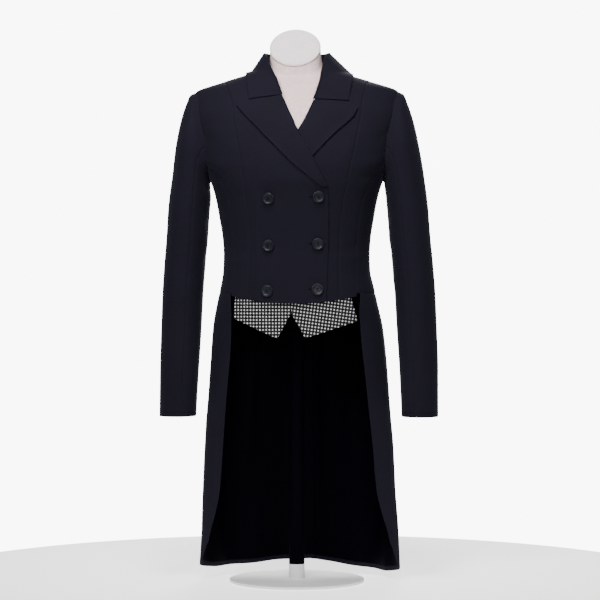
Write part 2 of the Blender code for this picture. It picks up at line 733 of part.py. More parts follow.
def sleeve_point(step, turn, side):
    """Point of the sleeve: step runs down the rings, turn goes round from the outer point."""
    step, turn = np.broadcast_arrays(np.asarray(step, float), np.asarray(turn, float))
    angle = turn * math.pi / 2
    root = 2 / SLEEVE_POWER
    along = np.sign(np.cos(angle)) * np.abs(np.cos(angle)) ** root
    across = np.sign(np.sin(angle)) * np.abs(np.sin(angle)) ** root
    get = {name: SLEEVE.at(name, step) for name in SLEEVE.columns}
    middle_x = (get["outer_x"] + get["inner_x"]) / 2 + side * get["swing"]
    x = middle_x + (get["outer_x"] - get["inner_x"]) / 2 * along
    z = (get["outer_z"] + get["inner_z"]) / 2 + (get["outer_z"] - get["inner_z"]) / 2 * along
    y = get["middle_y"] - get["depth"] / 2 * across
    return np.stack([side * x, y, z], axis=-1)


def sleeve_surface(step, turn, side):
    """The sleeve, drawn to the armhole seam over its first rings."""
    step, turn = np.broadcast_arrays(np.asarray(step, float), np.asarray(turn, float))
    draw = (1 - ramp(step, 0, SLEEVE_DRAWN_STEPS))[..., None]
    zero = np.zeros_like(step)
    return sleeve_point(step, turn, side) + draw * (
        armhole_curve(turn, side) - sleeve_point(zero, turn, side))


def sleeve_half(name, side, turns, finish):
    """Half of a two-piece sleeve, between its two seams."""
    steps = np.array(SLEEVE_STEPS, float)[:, None]
    points = sleeve_surface(steps, turns, side)
    down = (sleeve_surface(np.minimum(steps + 0.05, SLEEVE_LAST), turns, side)
            - sleeve_surface(np.maximum(steps - 0.05, 0), turns, side))
    round_ = (sleeve_surface(steps, turns + 0.02, side)
              - sleeve_surface(steps, turns - 0.02, side))
    normals = side * np.cross(round_, down)
    return wall(name + SIDE_NAMES[side], trim(points, top=SEAM_GAP, bottom=0), unit(normals),
                -WALL, 0, finish)


def sleeve(side, finish):
    turns = armhole_turns()
    seam = ARM_LEVELS.index(SLEEVE_SEAM_LEVEL)
    hind = len(turns) - seam
    top = np.concatenate([turns[hind:] - 4, turns[:seam + 1]])
    sleeve_half("sleeve_top_", side, top, finish)
    sleeve_half("sleeve_under_", side, turns[seam:hind + 1], finish)


def fold_lift(z, angle):
    """Soft vertical folds of the tails, deepest at the hem."""
    opening = np.clip((FOLD_TOP - z) / (FOLD_TOP - HEM), 0, 1) ** FOLD_POWER
    place = np.degrees(angle)[..., None]
    table = TAIL_FOLDS.columns
    waves = table["depth"] * np.exp(-((place - table["place"]) / table["width"]) ** 2)
    return opening * waves.sum(-1)


def tail_points(side):
    """A tail's points from the front edge to the middle back, their normals and lift."""
    share = np.linspace(0, 1, TAIL_COLUMNS)
    rows = np.linspace(0, 1, TAIL_ROWS)[:, None] ** TAIL_ROW_POWER
    z = WAIST_SEAM + (HEM_LINE.at(SIDE_NAMES[side] + "_z", share) - WAIST_SEAM) * rows
    level = np.maximum(z, HEM)
    power, half = BODY.at("power", level), BODY.at("half_width", level)
    start = np.arcsin(TAIL_EDGE.at("share", level) ** (power / 2))
    middle_x = -VENT_UNDERLAP if side == RIGHT else VENT_OVERLAP
    reach = np.arcsin((abs(middle_x) / half) ** (power / 2))
    angle = start + (math.pi - math.copysign(1, middle_x) * reach - start) * share
    points, normals = body_point(level, angle, side), body_normal(level, angle, side)
    points[..., 2] = z
    lift = fold_lift(level, angle)
    if side == LEFT:
        behind = angle > math.pi / 2
        lift = lift + VENT_LIFT * (1 - ramp(points[..., 0], *VENT_LIFT_FADE)) * behind
    return points, normals, lift


def tails(side, cloth, lining):
    """A tail with its lining, which stops short of the front edge and the hem."""
    points, normals, lift = tail_points(side)
    wall("tail_" + SIDE_NAMES[side], trim(points), normals, lift - WALL, lift, cloth)
    inner = lift - WALL - LINING_GAP
    inside = trim(points, bottom=LINING_EDGE, start=LINING_EDGE, end=LINING_VENT_EDGE)
    wall("tail_lining_" + SIDE_NAMES[side], inside, normals, inner - LINING_WALL, inner, lining)


def vest_point(side, finish):
    """A checked vest point that hangs from inside the front hem."""
    v = VEST[side]
    share = np.linspace(0, 1, VEST_COLUMNS)
    tip_share = (v["tip_x"] - v["outer_x"]) / (v["inner_x"] - v["outer_x"])
    share = np.sort(np.append(share, tip_share))
    x = v["outer_x"] + (v["inner_x"] - v["outer_x"]) * share
    low = np.interp(share, [0, tip_share, 1], [v["outer_z"], v["tip_z"], v["inner_z"]])
    top = front_hem(x) + VEST_TUCK
    z = top + (low - top) * np.linspace(0, 1, VEST_ROWS)[:, None]
    x = np.broadcast_to(x, z.shape)
    level = np.maximum(z, FRONT_HEM_MIDDLE)
    angle = angle_at_x(level, x, side)
    points, normals = body_point(level, angle, side), body_normal(level, angle, side)
    points[..., 2] = z
    normals[..., 2] = 0
    outer = -FRONT_WALL - 2 * LAYER_GAP
    return wall("vest_point_" + SIDE_NAMES[side], points, normals, outer - WALL, outer, finish)


def button(number, x, z, gap, finish):
    """A flat button with a raised rim, standing on the top front along its normal."""
    centre, normal = on_front(x, z, RIGHT, front_lift(x, z, RIGHT) + gap)
    across = unit(np.cross([0.0, 0.0, 1.0], normal))
    up = np.cross(normal, across)
    turn = np.linspace(0, 2 * math.pi, BUTTON_SIDES, endpoint=False)[:, None]
    circle = across * np.cos(turn) + up * np.sin(turn)
    rings = [centre + normal * height + (BUTTON_RADIUS - inset) * circle
             for inset, height in BUTTON_PROFILE]
    return turned(f"button_{number}", rings, finish)


def buttons(finish):
    number = 1
    for row in BUTTON_PLACES.keys:
        for side in ("right", "left"):
            x, z, gap = (BUTTON_PLACES.at(name, row)
                         for name in (side + "_x", side + "_z", "gap"))
            button(number, x, z, gap, finish)
            number += 1


def form_ring(x, y, z, half_width, front, back_depth, slope, power):
    turn = np.linspace(0, 2 * math.pi, FORM_SIDES, endpoint=False)
    root = 2 / power
    across = np.sign(np.sin(turn)) * np.abs(np.sin(turn)) ** root
    along = -np.sign(np.cos(turn)) * np.abs(np.cos(turn)) ** root
    depth = np.where(along < 0, front, back_depth)
    return np.stack([x + half_width * across, y + depth * along, z + slope * depth * along], -1)


def dress_form(linen, cap):
    """The linen bust: neck rings, then the coat's own levels drawn in, and the neck's cap."""
    table = FORM_NECK.columns
    rings = []
    for i in range(len(FORM_NECK.keys)):
        rings.append(form_ring(*(table[name][i] for name in (
            "x", "y", "z", "half_width", "front", "back", "slope", "power"))))
    for z in FORM_LEVELS:
        rings.append(form_ring(BODY.at("lean", z), 0.0, z, BODY.at("half_width", z),
                               BODY.at("front", z), BODY.at("back", z), 0.0,
                               BODY.at("power", z)))
    rings = np.stack(rings)
    high = rings[:, :, 2:] > FORM_SHOULDER_LEVEL
    rings = np.where(high, keep_inside(rings, FORM_SHOULDER_CLEARANCE),
                     keep_inside(rings, FORM_CLEARANCE))
    rings[-1, :, 2] = FORM_BOTTOM
    turned("form_torso", rings, linen)
    top = rings[0]
    middle = top.mean(axis=0)
    way = np.array([0.0, -math.sin(CAP_TILT), math.cos(CAP_TILT)])
    lifted = [middle + (top - middle) * size + way * height for size, height in NECK_CAP]
    turned("neck_cap", lifted, cap)


def stand(finish):
    """A round base plate with a pole welded on its middle, up to just below the form."""
    profile = ((BASE_RADIUS, 0.0), (BASE_RADIUS, BASE_THICKNESS - STAND_BEVEL),
               (BASE_RADIUS - STAND_BEVEL, BASE_THICKNESS),
               (POLE_RADIUS, BASE_THICKNESS), (POLE_RADIUS, FORM_BOTTOM - SEAM_GAP))
    turn = np.linspace(0, 2 * math.pi, STAND_SIDES, endpoint=False)
    circle = np.stack([np.cos(turn), np.sin(turn), np.zeros(STAND_SIDES)], -1)
    turned("stand", [circle * radius + np.array([0, 0, z]) for radius, z in profile], finish)


def main():
    clear_scene()
    suiting = material("navy suiting")
    lining = material("black lining")
    check = material("black and white check")
    for side in (RIGHT, LEFT):
        centre_front(side, suiting)
        side_front(side, suiting)
        side_body(side, suiting)
        back(side, suiting)
        sleeve(side, suiting)
        lapel(side, suiting)
        tails(side, suiting, lining)
        vest_point(side, check)
    collar(suiting)
    buttons(material("navy button plastic"))
    dress_form(material("natural linen"), material("pale cap linen"))
    stand(material("coated steel"))


if __name__ == "__main__":
    main()
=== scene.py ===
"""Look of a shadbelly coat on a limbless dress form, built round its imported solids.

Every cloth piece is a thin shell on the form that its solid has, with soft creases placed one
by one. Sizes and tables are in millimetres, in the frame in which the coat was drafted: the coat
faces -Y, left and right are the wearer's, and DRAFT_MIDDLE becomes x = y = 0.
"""

from __future__ import annotations

import logging
import math
from dataclasses import dataclass
from enum import Enum

import bmesh
import bpy
import mathutils
import numpy as np
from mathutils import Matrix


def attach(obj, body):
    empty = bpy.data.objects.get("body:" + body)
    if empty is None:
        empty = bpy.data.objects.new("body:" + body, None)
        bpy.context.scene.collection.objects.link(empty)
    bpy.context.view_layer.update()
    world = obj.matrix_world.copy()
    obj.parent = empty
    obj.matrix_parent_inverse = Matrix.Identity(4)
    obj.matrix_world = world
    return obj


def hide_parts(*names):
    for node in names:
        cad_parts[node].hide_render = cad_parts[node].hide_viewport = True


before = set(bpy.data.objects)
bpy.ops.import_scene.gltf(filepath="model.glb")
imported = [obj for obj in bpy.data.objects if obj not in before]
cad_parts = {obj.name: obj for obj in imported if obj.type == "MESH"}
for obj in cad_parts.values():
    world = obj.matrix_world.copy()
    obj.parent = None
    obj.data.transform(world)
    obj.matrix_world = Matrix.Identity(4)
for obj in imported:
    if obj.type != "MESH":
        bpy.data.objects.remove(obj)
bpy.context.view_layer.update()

log = logging.getLogger("coat")

Array = np.ndarray
Material, Object, Socket = bpy.types.Material, bpy.types.Object, bpy.types.NodeSocket

MM = 0.001
DRAFT_MIDDLE = np.array([5.0, -3.2, 0.0])


class Side(Enum):
    """The wearer's side, with the sign of its x."""

    RIGHT = -1
    LEFT = 1

    @property
    def word(self) -> str:
        """Name of the side as node names have it."""
        return self.name.lower()


# Curves and tables


def smooth(keys: Array, values: Array, at: Array) -> Array:
    """Monotone cubic through a table, with slopes the harmonic means of its neighbours.

    Args:
        keys: Increasing or decreasing abscissae.
        values: Value at each key.
        at: Where the curve is wanted; ends are held.

    Returns:
        The curve's values, shaped like at.
    """
    if keys[0] > keys[-1]:
        keys, values = keys[::-1], values[::-1]
    step = np.diff(keys)
    rise = np.diff(values) / step
    slope = np.zeros_like(values)
    same = rise[:-1] * rise[1:] > 0
    slope[1:-1][same] = 2 * rise[:-1][same] * rise[1:][same] / (rise[:-1] + rise[1:])[same]
    slope[0], slope[-1] = rise[0], rise[-1]
    at = np.clip(np.asarray(at, float), keys[0], keys[-1])
    i = np.clip(np.searchsorted(keys, at) - 1, 0, len(keys) - 2)
    t = (at - keys[i]) / step[i]
    return ((1 + 2 * t) * (1 - t) ** 2 * values[i] + t * (1 - t) ** 2 * step[i] * slope[i]
            + t * t * (3 - 2 * t) * values[i + 1] + t * t * (t - 1) * step[i] * slope[i + 1])


def ramp(value: Array, start: float, full: float) -> Array:
    """Soft S from 0 at start to 1 at full: 3t squared less 2t cubed."""
    t = np.clip((np.asarray(value, float) - start) / (full - start), 0, 1)
    return t * t * (3 - 2 * t)


def unit(vectors: Array) -> Array:
    """Vectors scaled to length 1."""
    return vectors / np.maximum(np.linalg.norm(vectors, axis=-1, keepdims=True), 1e-9)


def signed_power(value: Array, power: Array) -> Array:
    """Size of each value to a power, with the value's own sign."""
    return np.sign(value) * np.abs(value) ** power


class Table:
    """Rows of numbers with named columns, read by the first column."""

    def __init__(self, columns: str, *rows: tuple) -> None:
        """Name the columns of rows."""
        self.columns = {name: np.array([row[i] for row in rows], float)
                        for i, name in enumerate(columns.split())}
        self.keys = next(iter(self.columns.values()))

    def at(self, name: str, key: Array) -> Array:
        """Smooth value of a column where the first column is key."""
        return smooth(self.keys, self.columns[name], key)

    def row(self, key: Array) -> dict[str, Array]:
        """Smooth value of every column where the first column is key."""
        return {name: self.at(name, key) for name in self.columns}


# Cloth walls and the gaps between layers
WALL, FRONT_WALL, LINING_WALL = 1.6, 2.6, 1.0
LAYER_GAP, LAPEL_GAP, LINING_GAP = 0.4, 0.7, 0.8
# Sewn edges run this far into each other, so that no light shows through a seam
TUCK = -0.15
# Free edges stop this far short of the line that they are cut to
SHORT = 0.15
# Radius of a rounded edge as a share of the wall
EDGE_SHARE = 0.46
# Keeps a division or a sign away from zero
TINY = 1e-6

# Heights of the coat's landmarks above the ground, and the shape of its front hem
NECK_LINE, PRINCESS_TOP, SHOULDER_TIP, UNDERARM, WAIST_SEAM = 990.0, 965.0, 944.0, 772.0, 556.0
ARM_MIDDLE, ARM_HALF = (SHOULDER_TIP + UNDERARM) / 2, (SHOULDER_TIP - UNDERARM) / 2
FRONT_HEM_MIDDLE, FRONT_HEM_RISE, FRONT_HEM_HALF, HEM = 536.0, 13.0, 115.0, 28.0

BODY = Table(
    "z half_width front back power lean",
    (990, 62, 50, 60, 2.0, 0), (980, 90, 56, 66, 2.0, 0), (963, 145, 64, 74, 2.0, 0),
    (944, 196, 74, 82, 2.05, 0), (920, 203, 87, 92, 2.15, 0), (900, 205, 98, 99, 2.2, 0),
    (880, 202, 108, 104, 2.2, 0), (855, 193.5, 118, 108, 2.3, 0),
    (820, 185.5, 127, 110, 2.3, 0), (790, 174, 130, 110, 2.4, 0),
    (770, 165.5, 130, 109, 2.4, 0), (740, 156.5, 126, 106, 2.35, 0),
    (700, 149, 119, 99, 2.3, 0), (662, 143, 112, 93, 2.3, 0), (630, 141, 109, 90, 2.3, 0),
    (600, 142, 109, 91, 2.3, 0), (566, 148.5, 110, 97, 2.3, 1), (536, 155.5, 110, 103, 2.3, 1),
    (489, 165, 97, 110, 2.3, 2), (412, 172, 84, 116, 2.3, 3), (334, 177, 70, 119, 2.2, 3),
    (257, 182, 58, 121, 2.2, 4), (180, 185, 48, 123, 2.1, 4), (102, 189, 38, 125, 2.0, 5),
    (HEM, 191, 30, 126, 2.0, 5),
)
FRONT_SEAMS = Table(
    "z princess side lean",
    (966, 143, 260, 0), (955, 134, 260, 1), (920, 124, 260, 4), (882, 119, 260, 5),
    (850, 113, 230, 5), (814, 106, 190, 5), (794, 102, 170, 4), (781, 100, 152, 4),
    (764, 97, 140, 4), (731, 91, 126, 2), (686, 86, 120, 1), (615, 84, 116, 0),
    (562, 86, 119, -1), (536, 88, 121, -2),
)
BACK_SEAM = Table(
    "z half",
    (990, 260), (850, 230), (833, 190), (811, 152), (781, 128), (735, 104), (662, 78),
    (600, 70), (536, 74),
)
EDGES = {
    Side.RIGHT: Table(
        "z x",
        (990, -56), (964, -38), (932, -25), (887, -5), (858, 8), (831, 24), (809, 35),
        (787, 46), (764, 58), (751, 64), (729, 65.5), (657, 65), (608, 63), (530, 60.5),
    ),
    Side.LEFT: Table(
        "z x",
        (990, 57), (949, 47), (911, 33.5), (891, 25), (858, 8), (831, -6), (787, -29),
        (751, -52), (729, -60), (530, -61),
    ),
}


@dataclass(frozen=True)
class CoatForm:
    """The coat's body as one surface: superellipse sections, and the seams drawn on it."""

    arm_depth: float = 58.0
    arm_power: float = 2.2
    arm_egg: float = 0.22
    princess_margin: float = 0.04
    princess_turn: float = 0.05
    lap_lift: float = FRONT_WALL + 2 * LAYER_GAP
    lapel_lift: float = WALL + 2 * LAYER_GAP
    lap_start: float = -83.0
    lap_margin: float = 5.0
    # Heights between which the lap fades out upwards, and its way over the left lapel sets in
    lap_fade: tuple = (866.0, 908.0)
    lapel_fade: tuple = (742.0, 776.0)
    # Steps with which slopes are taken: height, angle and distance
    level_step: float = 1.0
    angle_step: float = 0.02
    probe: float = 0.2

    def point(self, z: Array, angle: Array, side: Side) -> Array:
        """Point at height z and angle: |x / half width| and |y / depth| to the power sum to 1."""
        z, angle = np.broadcast_arrays(np.asarray(z, float), np.asarray(angle, float))
        root = 2 / BODY.at("power", z)
        across = signed_power(np.sin(angle), root)
        along = np.abs(np.cos(angle)) ** root
        depth = np.where(np.cos(angle) >= 0, -BODY.at("front", z), BODY.at("back", z))
        x = BODY.at("lean", z) + side.value * BODY.at("half_width", z) * across
        return np.stack([x, depth * along, z], axis=-1)

    def normal(self, z: Array, angle: Array, side: Side) -> Array:
        """Outward unit normal: the cross product of small steps round and up."""
        z, angle = np.broadcast_arrays(np.asarray(z, float), np.asarray(angle, float))
        low = np.clip(z - self.level_step, HEM, NECK_LINE)
        high = np.clip(z + self.level_step, HEM, NECK_LINE)
        up = self.point(high, angle, side) - self.point(low, angle, side)
        round_ = (self.point(z, angle + self.angle_step, side)
                  - self.point(z, angle - self.angle_step, side))
        return unit(side.value * np.cross(round_, up))

    def angle_at_x(self, z: Array, x: Array, side: Side) -> Array:
        """Angle on the front half at which the section at z passes x."""
        share = np.clip(side.value * (x - BODY.at("lean", z)) / BODY.at("half_width", z), -1, 1)
        return np.sign(share) * np.arcsin(np.abs(share) ** (BODY.at("power", z) / 2))

    def angle_at_y(self, z: Array, y: Array) -> Array:
        """Angle at which the section at z passes y, negative y being the front."""
        depth = np.where(np.asarray(y) < 0, BODY.at("front", z), BODY.at("back", z))
        share = np.clip(np.abs(y) / depth, 0, 1) ** (BODY.at("power", z) / 2)
        return np.arccos(-np.sign(y) * share)

    def armhole_y(self, z: Array, egg: float) -> Array:
        """Depth of the armhole's egg at z: a superellipse, wider low down by egg."""
        turn = np.clip((z - ARM_MIDDLE) / ARM_HALF, -1, 1)
        reach = (1 - np.abs(turn) ** self.arm_power) ** (1 / self.arm_power)
        return self.arm_depth * reach * (1 - egg * turn)

    def limit(self, z: Array, front: bool) -> Array:
        """Angle where the front or back half ends: at the armhole, or the middle of the side."""
        y = -self.armhole_y(z, self.arm_egg) if front else self.armhole_y(z, 0.0)
        inside = (z < SHOULDER_TIP) & (z > UNDERARM)
        return np.where(inside, self.angle_at_y(z, y), math.pi / 2)

    def princess(self, z: Array, side: Side) -> Array:
        """Angle of the princess seam."""
        x = FRONT_SEAMS.at("lean", z) + side.value * FRONT_SEAMS.at("princess", z)
        below = np.minimum(self.angle_at_x(z, x, side), self.limit(z, True) - self.princess_margin)
        return np.where(z > PRINCESS_TOP + self.princess_turn, self.limit(z, True), below)

    def side_seam(self, z: Array, side: Side) -> Array:
        """Angle of the seam in front of the side body."""
        x = FRONT_SEAMS.at("lean", z) + side.value * FRONT_SEAMS.at("side", z)
        return np.minimum(self.angle_at_x(z, x, side), self.limit(z, True))

    def back_seam(self, z: Array) -> Array:
        """Angle of the seam behind the side body."""
        share = np.clip(BACK_SEAM.at("half", z) / BODY.at("half_width", z), 0, 1)
        turned = math.pi - np.arcsin(share ** (BODY.at("power", z) / 2))
        return np.maximum(turned, self.limit(z, False))

    def front_edge(self, z: Array, side: Side) -> Array:
        """Angle of a front's inner edge: the V opening, then the straight edge."""
        return self.angle_at_x(z, EDGES[side].at("x", z), side)

    def lift(self, x: Array, z: Array, side: Side) -> Array:
        """How far a front lies outside the surface: the wearer's right laps over."""
        if side is Side.LEFT:
            return np.zeros_like(np.asarray(x, float))
        full = EDGES[Side.LEFT].at("x", z) - self.lap_margin
        over = ramp((x - self.lap_start) / (full - self.lap_start), 0, 1)
        return (over * (1 - ramp(z, *self.lap_fade))
                * (self.lap_lift + self.lapel_lift * ramp(z, *self.lapel_fade)))

    def on_front(self, x: Array, z: Array, side: Side, lift: Array) -> tuple[Array, Array]:
        """Points of the front half at (x, z), moved out by lift, and the normals there."""
        angle = self.angle_at_x(z, x, side)
        normals = self.normal(z, angle, side)
        return self.point(z, angle, side) + normals * np.asarray(lift)[..., None], normals

    def distance(self, points: Array) -> tuple[Array, Array]:
        """Distance outside the surface, its level over its slope, and the way out."""
        def level(p: Array) -> Array:
            z = np.clip(p[..., 2], HEM, NECK_LINE)
            depth = np.where(p[..., 1] < 0, BODY.at("front", z), BODY.at("back", z))
            power = BODY.at("power", z)
            x = np.abs(p[..., 0] - BODY.at("lean", z)) / BODY.at("half_width", z)
            return (x ** power + (np.abs(p[..., 1]) / depth) ** power) ** (1 / power) - 1

        slope = np.stack([(level(points + step) - level(points - step)) / (2 * self.probe)
                          for step in self.probe * np.eye(3)], axis=-1)
        size = np.maximum(np.linalg.norm(slope, axis=-1, keepdims=True), 1e-9)
        return level(points)[..., None] / size, slope / size

    def keep(self, points: Array, gap: Array, out: bool, rounds: int = 8) -> Array:
        """Move points, in a few rounds, until they are at least gap outside or inside."""
        sign = 1 if out else -1
        top = NECK_LINE if out else NECK_LINE + 2
        for _ in range(rounds):
            distance, way = self.distance(points)
            short = np.maximum(gap - sign * distance, 0)
            points = points + sign * np.where(points[..., 2:] < top, short, 0) * way
        return points


FORM = CoatForm()


def front_hem(x: Array) -> Array:
    """Height of the short front hem: a shallow parabola, lowest in the middle."""
    return FRONT_HEM_MIDDLE + FRONT_HEM_RISE * (x / FRONT_HEM_HALF) ** 2


def armhole_curve(turn: Array, side: Side) -> Array:
    """Armhole seam on the surface: turn 0 is the shoulder tip, 1 the front, 2 the underarm."""
    angle = np.asarray(turn, float) * math.pi / 2
    z = ARM_MIDDLE + ARM_HALF * np.cos(angle)
    y = np.where(np.sin(angle) >= 0, -FORM.armhole_y(z, FORM.arm_egg), FORM.armhole_y(z, 0.0))
    return FORM.point(z, FORM.angle_at_y(z, np.where(y == 0, -TINY, y)), side)


# Creases


class Creases:
    """Soft troughs and ridges along short lines in space, given one by one."""

    gain: float = 1.5
    end_share: float = 0.25

    def __init__(self) -> None:
        """Start with no creases."""
        self.rows: list[Array] = []

    def add(self, start: Array, end: Array, width: Array, depth: Array) -> None:
        """Add creases from start to end, with their half widths and their depths."""
        self.rows.append(np.column_stack([start, end, width, depth]))

    def offset(self, points: Array) -> Array:
        """Height at each point: a bell across each line, fading along it as a half sine.

        Args:
            points: Any array of points, in millimetres.

        Returns:
            How far each point moves out.
        """
        flat = points.reshape(-1, 1, 3)
        table = np.concatenate(self.rows)
        start, along = table[:, 0:3], table[:, 3:6] - table[:, 0:3]
        share = ((flat - start) * along).sum(-1) / (along ** 2).sum(-1)
        held = np.clip(share, 0, 1)
        away = np.linalg.norm(flat - start - held[..., None] * along, axis=-1)
        fade = self.end_share + (1 - self.end_share) * np.sin(math.pi * held)
        height = self.gain * table[:, 7] * fade * np.exp(-(away / table[:, 6]) ** 2)
        return height.sum(-1).reshape(points.shape[:-1])


CREASES = Creases()

# Bodice creases: x and z of both ends, on the front (-1) or the back (1)
BODICE_CREASES = np.array([
    # x0, z0, x1, z1, face, width, depth
    (-176, 815, -118, 792, -1, 9, 1.3),
    (-172, 796, -128, 764, -1, 7, -1.1),
    (-186, 868, -150, 838, -1, 8, -1.0),
    (178, 818, 126, 797, -1, 9, 1.1),
    (170, 792, 122, 770, -1, 7, -1.2),
    (188, 872, 156, 846, -1, 8, -0.9),
    (-60, 905, -88, 822, -1, 14, 0.9),
    (118, 858, 92, 802, -1, 13, 0.8),
    (-132, 648, -78, 632, -1, 6, -0.8),
    (-128, 620, -84, 616, -1, 6, 0.8),
    (130, 655, 88, 636, -1, 6, -0.8),
    (128, 628, 96, 617, -1, 6, 0.7),
    (-38, 737, -18, 729, -1, 5, -0.8),
    (-36, 645, -20, 640, -1, 5, -0.8),
    (-38, 560, -22, 557, -1, 5, -0.7),
    (37, 733, 22, 726, -1, 4, -0.6),
    (36, 644, 22, 640, -1, 4, -0.6),
    (-150, 905, -112, 842, 1, 12, -1.6),
    (-120, 895, -96, 820, 1, 11, 1.2),
    (152, 898, 110, 850, 1, 12, -1.4),
    (124, 900, 100, 812, 1, 12, 1.3),
    (-40, 962, 44, 958, 1, 8, -0.9),
    (-62, 668, 58, 662, 1, 8, -1.4),
    (-70, 646, 38, 641, 1, 7, 1.0),
    (-44, 622, 66, 617, 1, 7, -1.2),
    (-118, 655, -84, 634, 1, 7, -1.1),
    (120, 648, 86, 630, 1, 7, -1.0),
    (-20, 860, -32, 740, 1, 15, -0.9),
    (24, 845, 34, 722, 1, 14, -0.8),
    (-132, 760, -98, 700, 1, 10, 1.0),
    (134, 768, 104, 706, 1, 10, 0.9),
])

# Sleeve creases: step and turn of both ends. The turn is 0 outside, 1 in front and 3 behind.
SLEEVE_CREASES = {
    Side.RIGHT: np.array([
        # step0, turn0, step1, turn1, width, depth
        (6.3, 1.9, 7.0, 0.9, 8, -1.7),
        (7.0, 2.0, 7.6, 1.0, 7, 1.3),
        (7.5, 2.1, 8.4, 1.2, 8, -1.8),
        (8.4, 1.9, 9.2, 1.0, 9, 1.2),
        (5.2, 1.7, 6.2, 0.7, 9, 1.1),
        (0.8, 0.5, 3.6, 0.6, 10, -0.9),
        (0.8, 3.4, 4.0, 3.2, 11, -1.2),
        (1.5, 2.6, 4.5, 2.8, 10, 1.2),
        (6.5, 3.1, 7.9, 2.4, 9, 1.5),
        (7.6, 3.3, 9.0, 2.5, 10, -1.5),
        (9.2, 0.7, 12.2, 0.9, 12, -1.0),
        (9.8, 2.9, 12.6, 3.2, 12, 1.2),
        (10.6, 1.6, 12.4, 1.3, 10, 1.0),
    ]),
    Side.LEFT: np.array([
        (6.1, 1.9, 6.9, 1.0, 8, -1.5),
        (6.8, 2.1, 7.5, 1.1, 7, 1.4),
        (7.4, 2.0, 8.2, 0.9, 9, -1.6),
        (8.3, 2.0, 9.5, 1.2, 9, 1.1),
        (4.9, 1.8, 6.0, 0.8, 10, 1.0),
        (0.8, 0.4, 3.3, 0.5, 10, -1.0),
        (0.9, 3.5, 3.8, 3.1, 11, -1.1),
        (1.6, 2.7, 4.7, 2.7, 10, 1.1),
        (6.7, 3.0, 8.1, 2.3, 9, 1.4),
        (7.9, 3.2, 9.3, 2.6, 10, -1.4),
        (9.4, 0.6, 12.5, 0.8, 12, -1.1),
        (10.0, 3.0, 12.4, 3.1, 12, 1.1),
        (10.9, 1.5, 12.6, 1.4, 10, 0.9),
    ]),
}

# Tail creases: height and degrees round from the front, of both ends
TAIL_CREASES = {
    Side.RIGHT: np.array([
        # z0, place0, z1, place1, width, depth
        (545, 84, 330, 88, 12, -1.5),
        (540, 112, 300, 108, 13, 1.5),
        (500, 150, 210, 146, 12, -1.8),
        (330, 70, 120, 76, 11, 1.5),
        (260, 128, 60, 125, 12, 2.0),
        (210, 96, 50, 92, 10, -1.7),
        (540, 132, 420, 137, 10, -1.1),
    ]),
    Side.LEFT: np.array([
        (548, 88, 350, 85, 12, -1.4),
        (535, 116, 280, 120, 13, 1.6),
        (490, 146, 230, 150, 12, -1.6),
        (350, 72, 150, 74, 11, 1.3),
        (250, 125, 55, 130, 12, 1.9),
        (190, 98, 45, 101, 10, -1.8),
        (545, 138, 430, 133, 10, -1.0),
    ]),
}


# Meshes


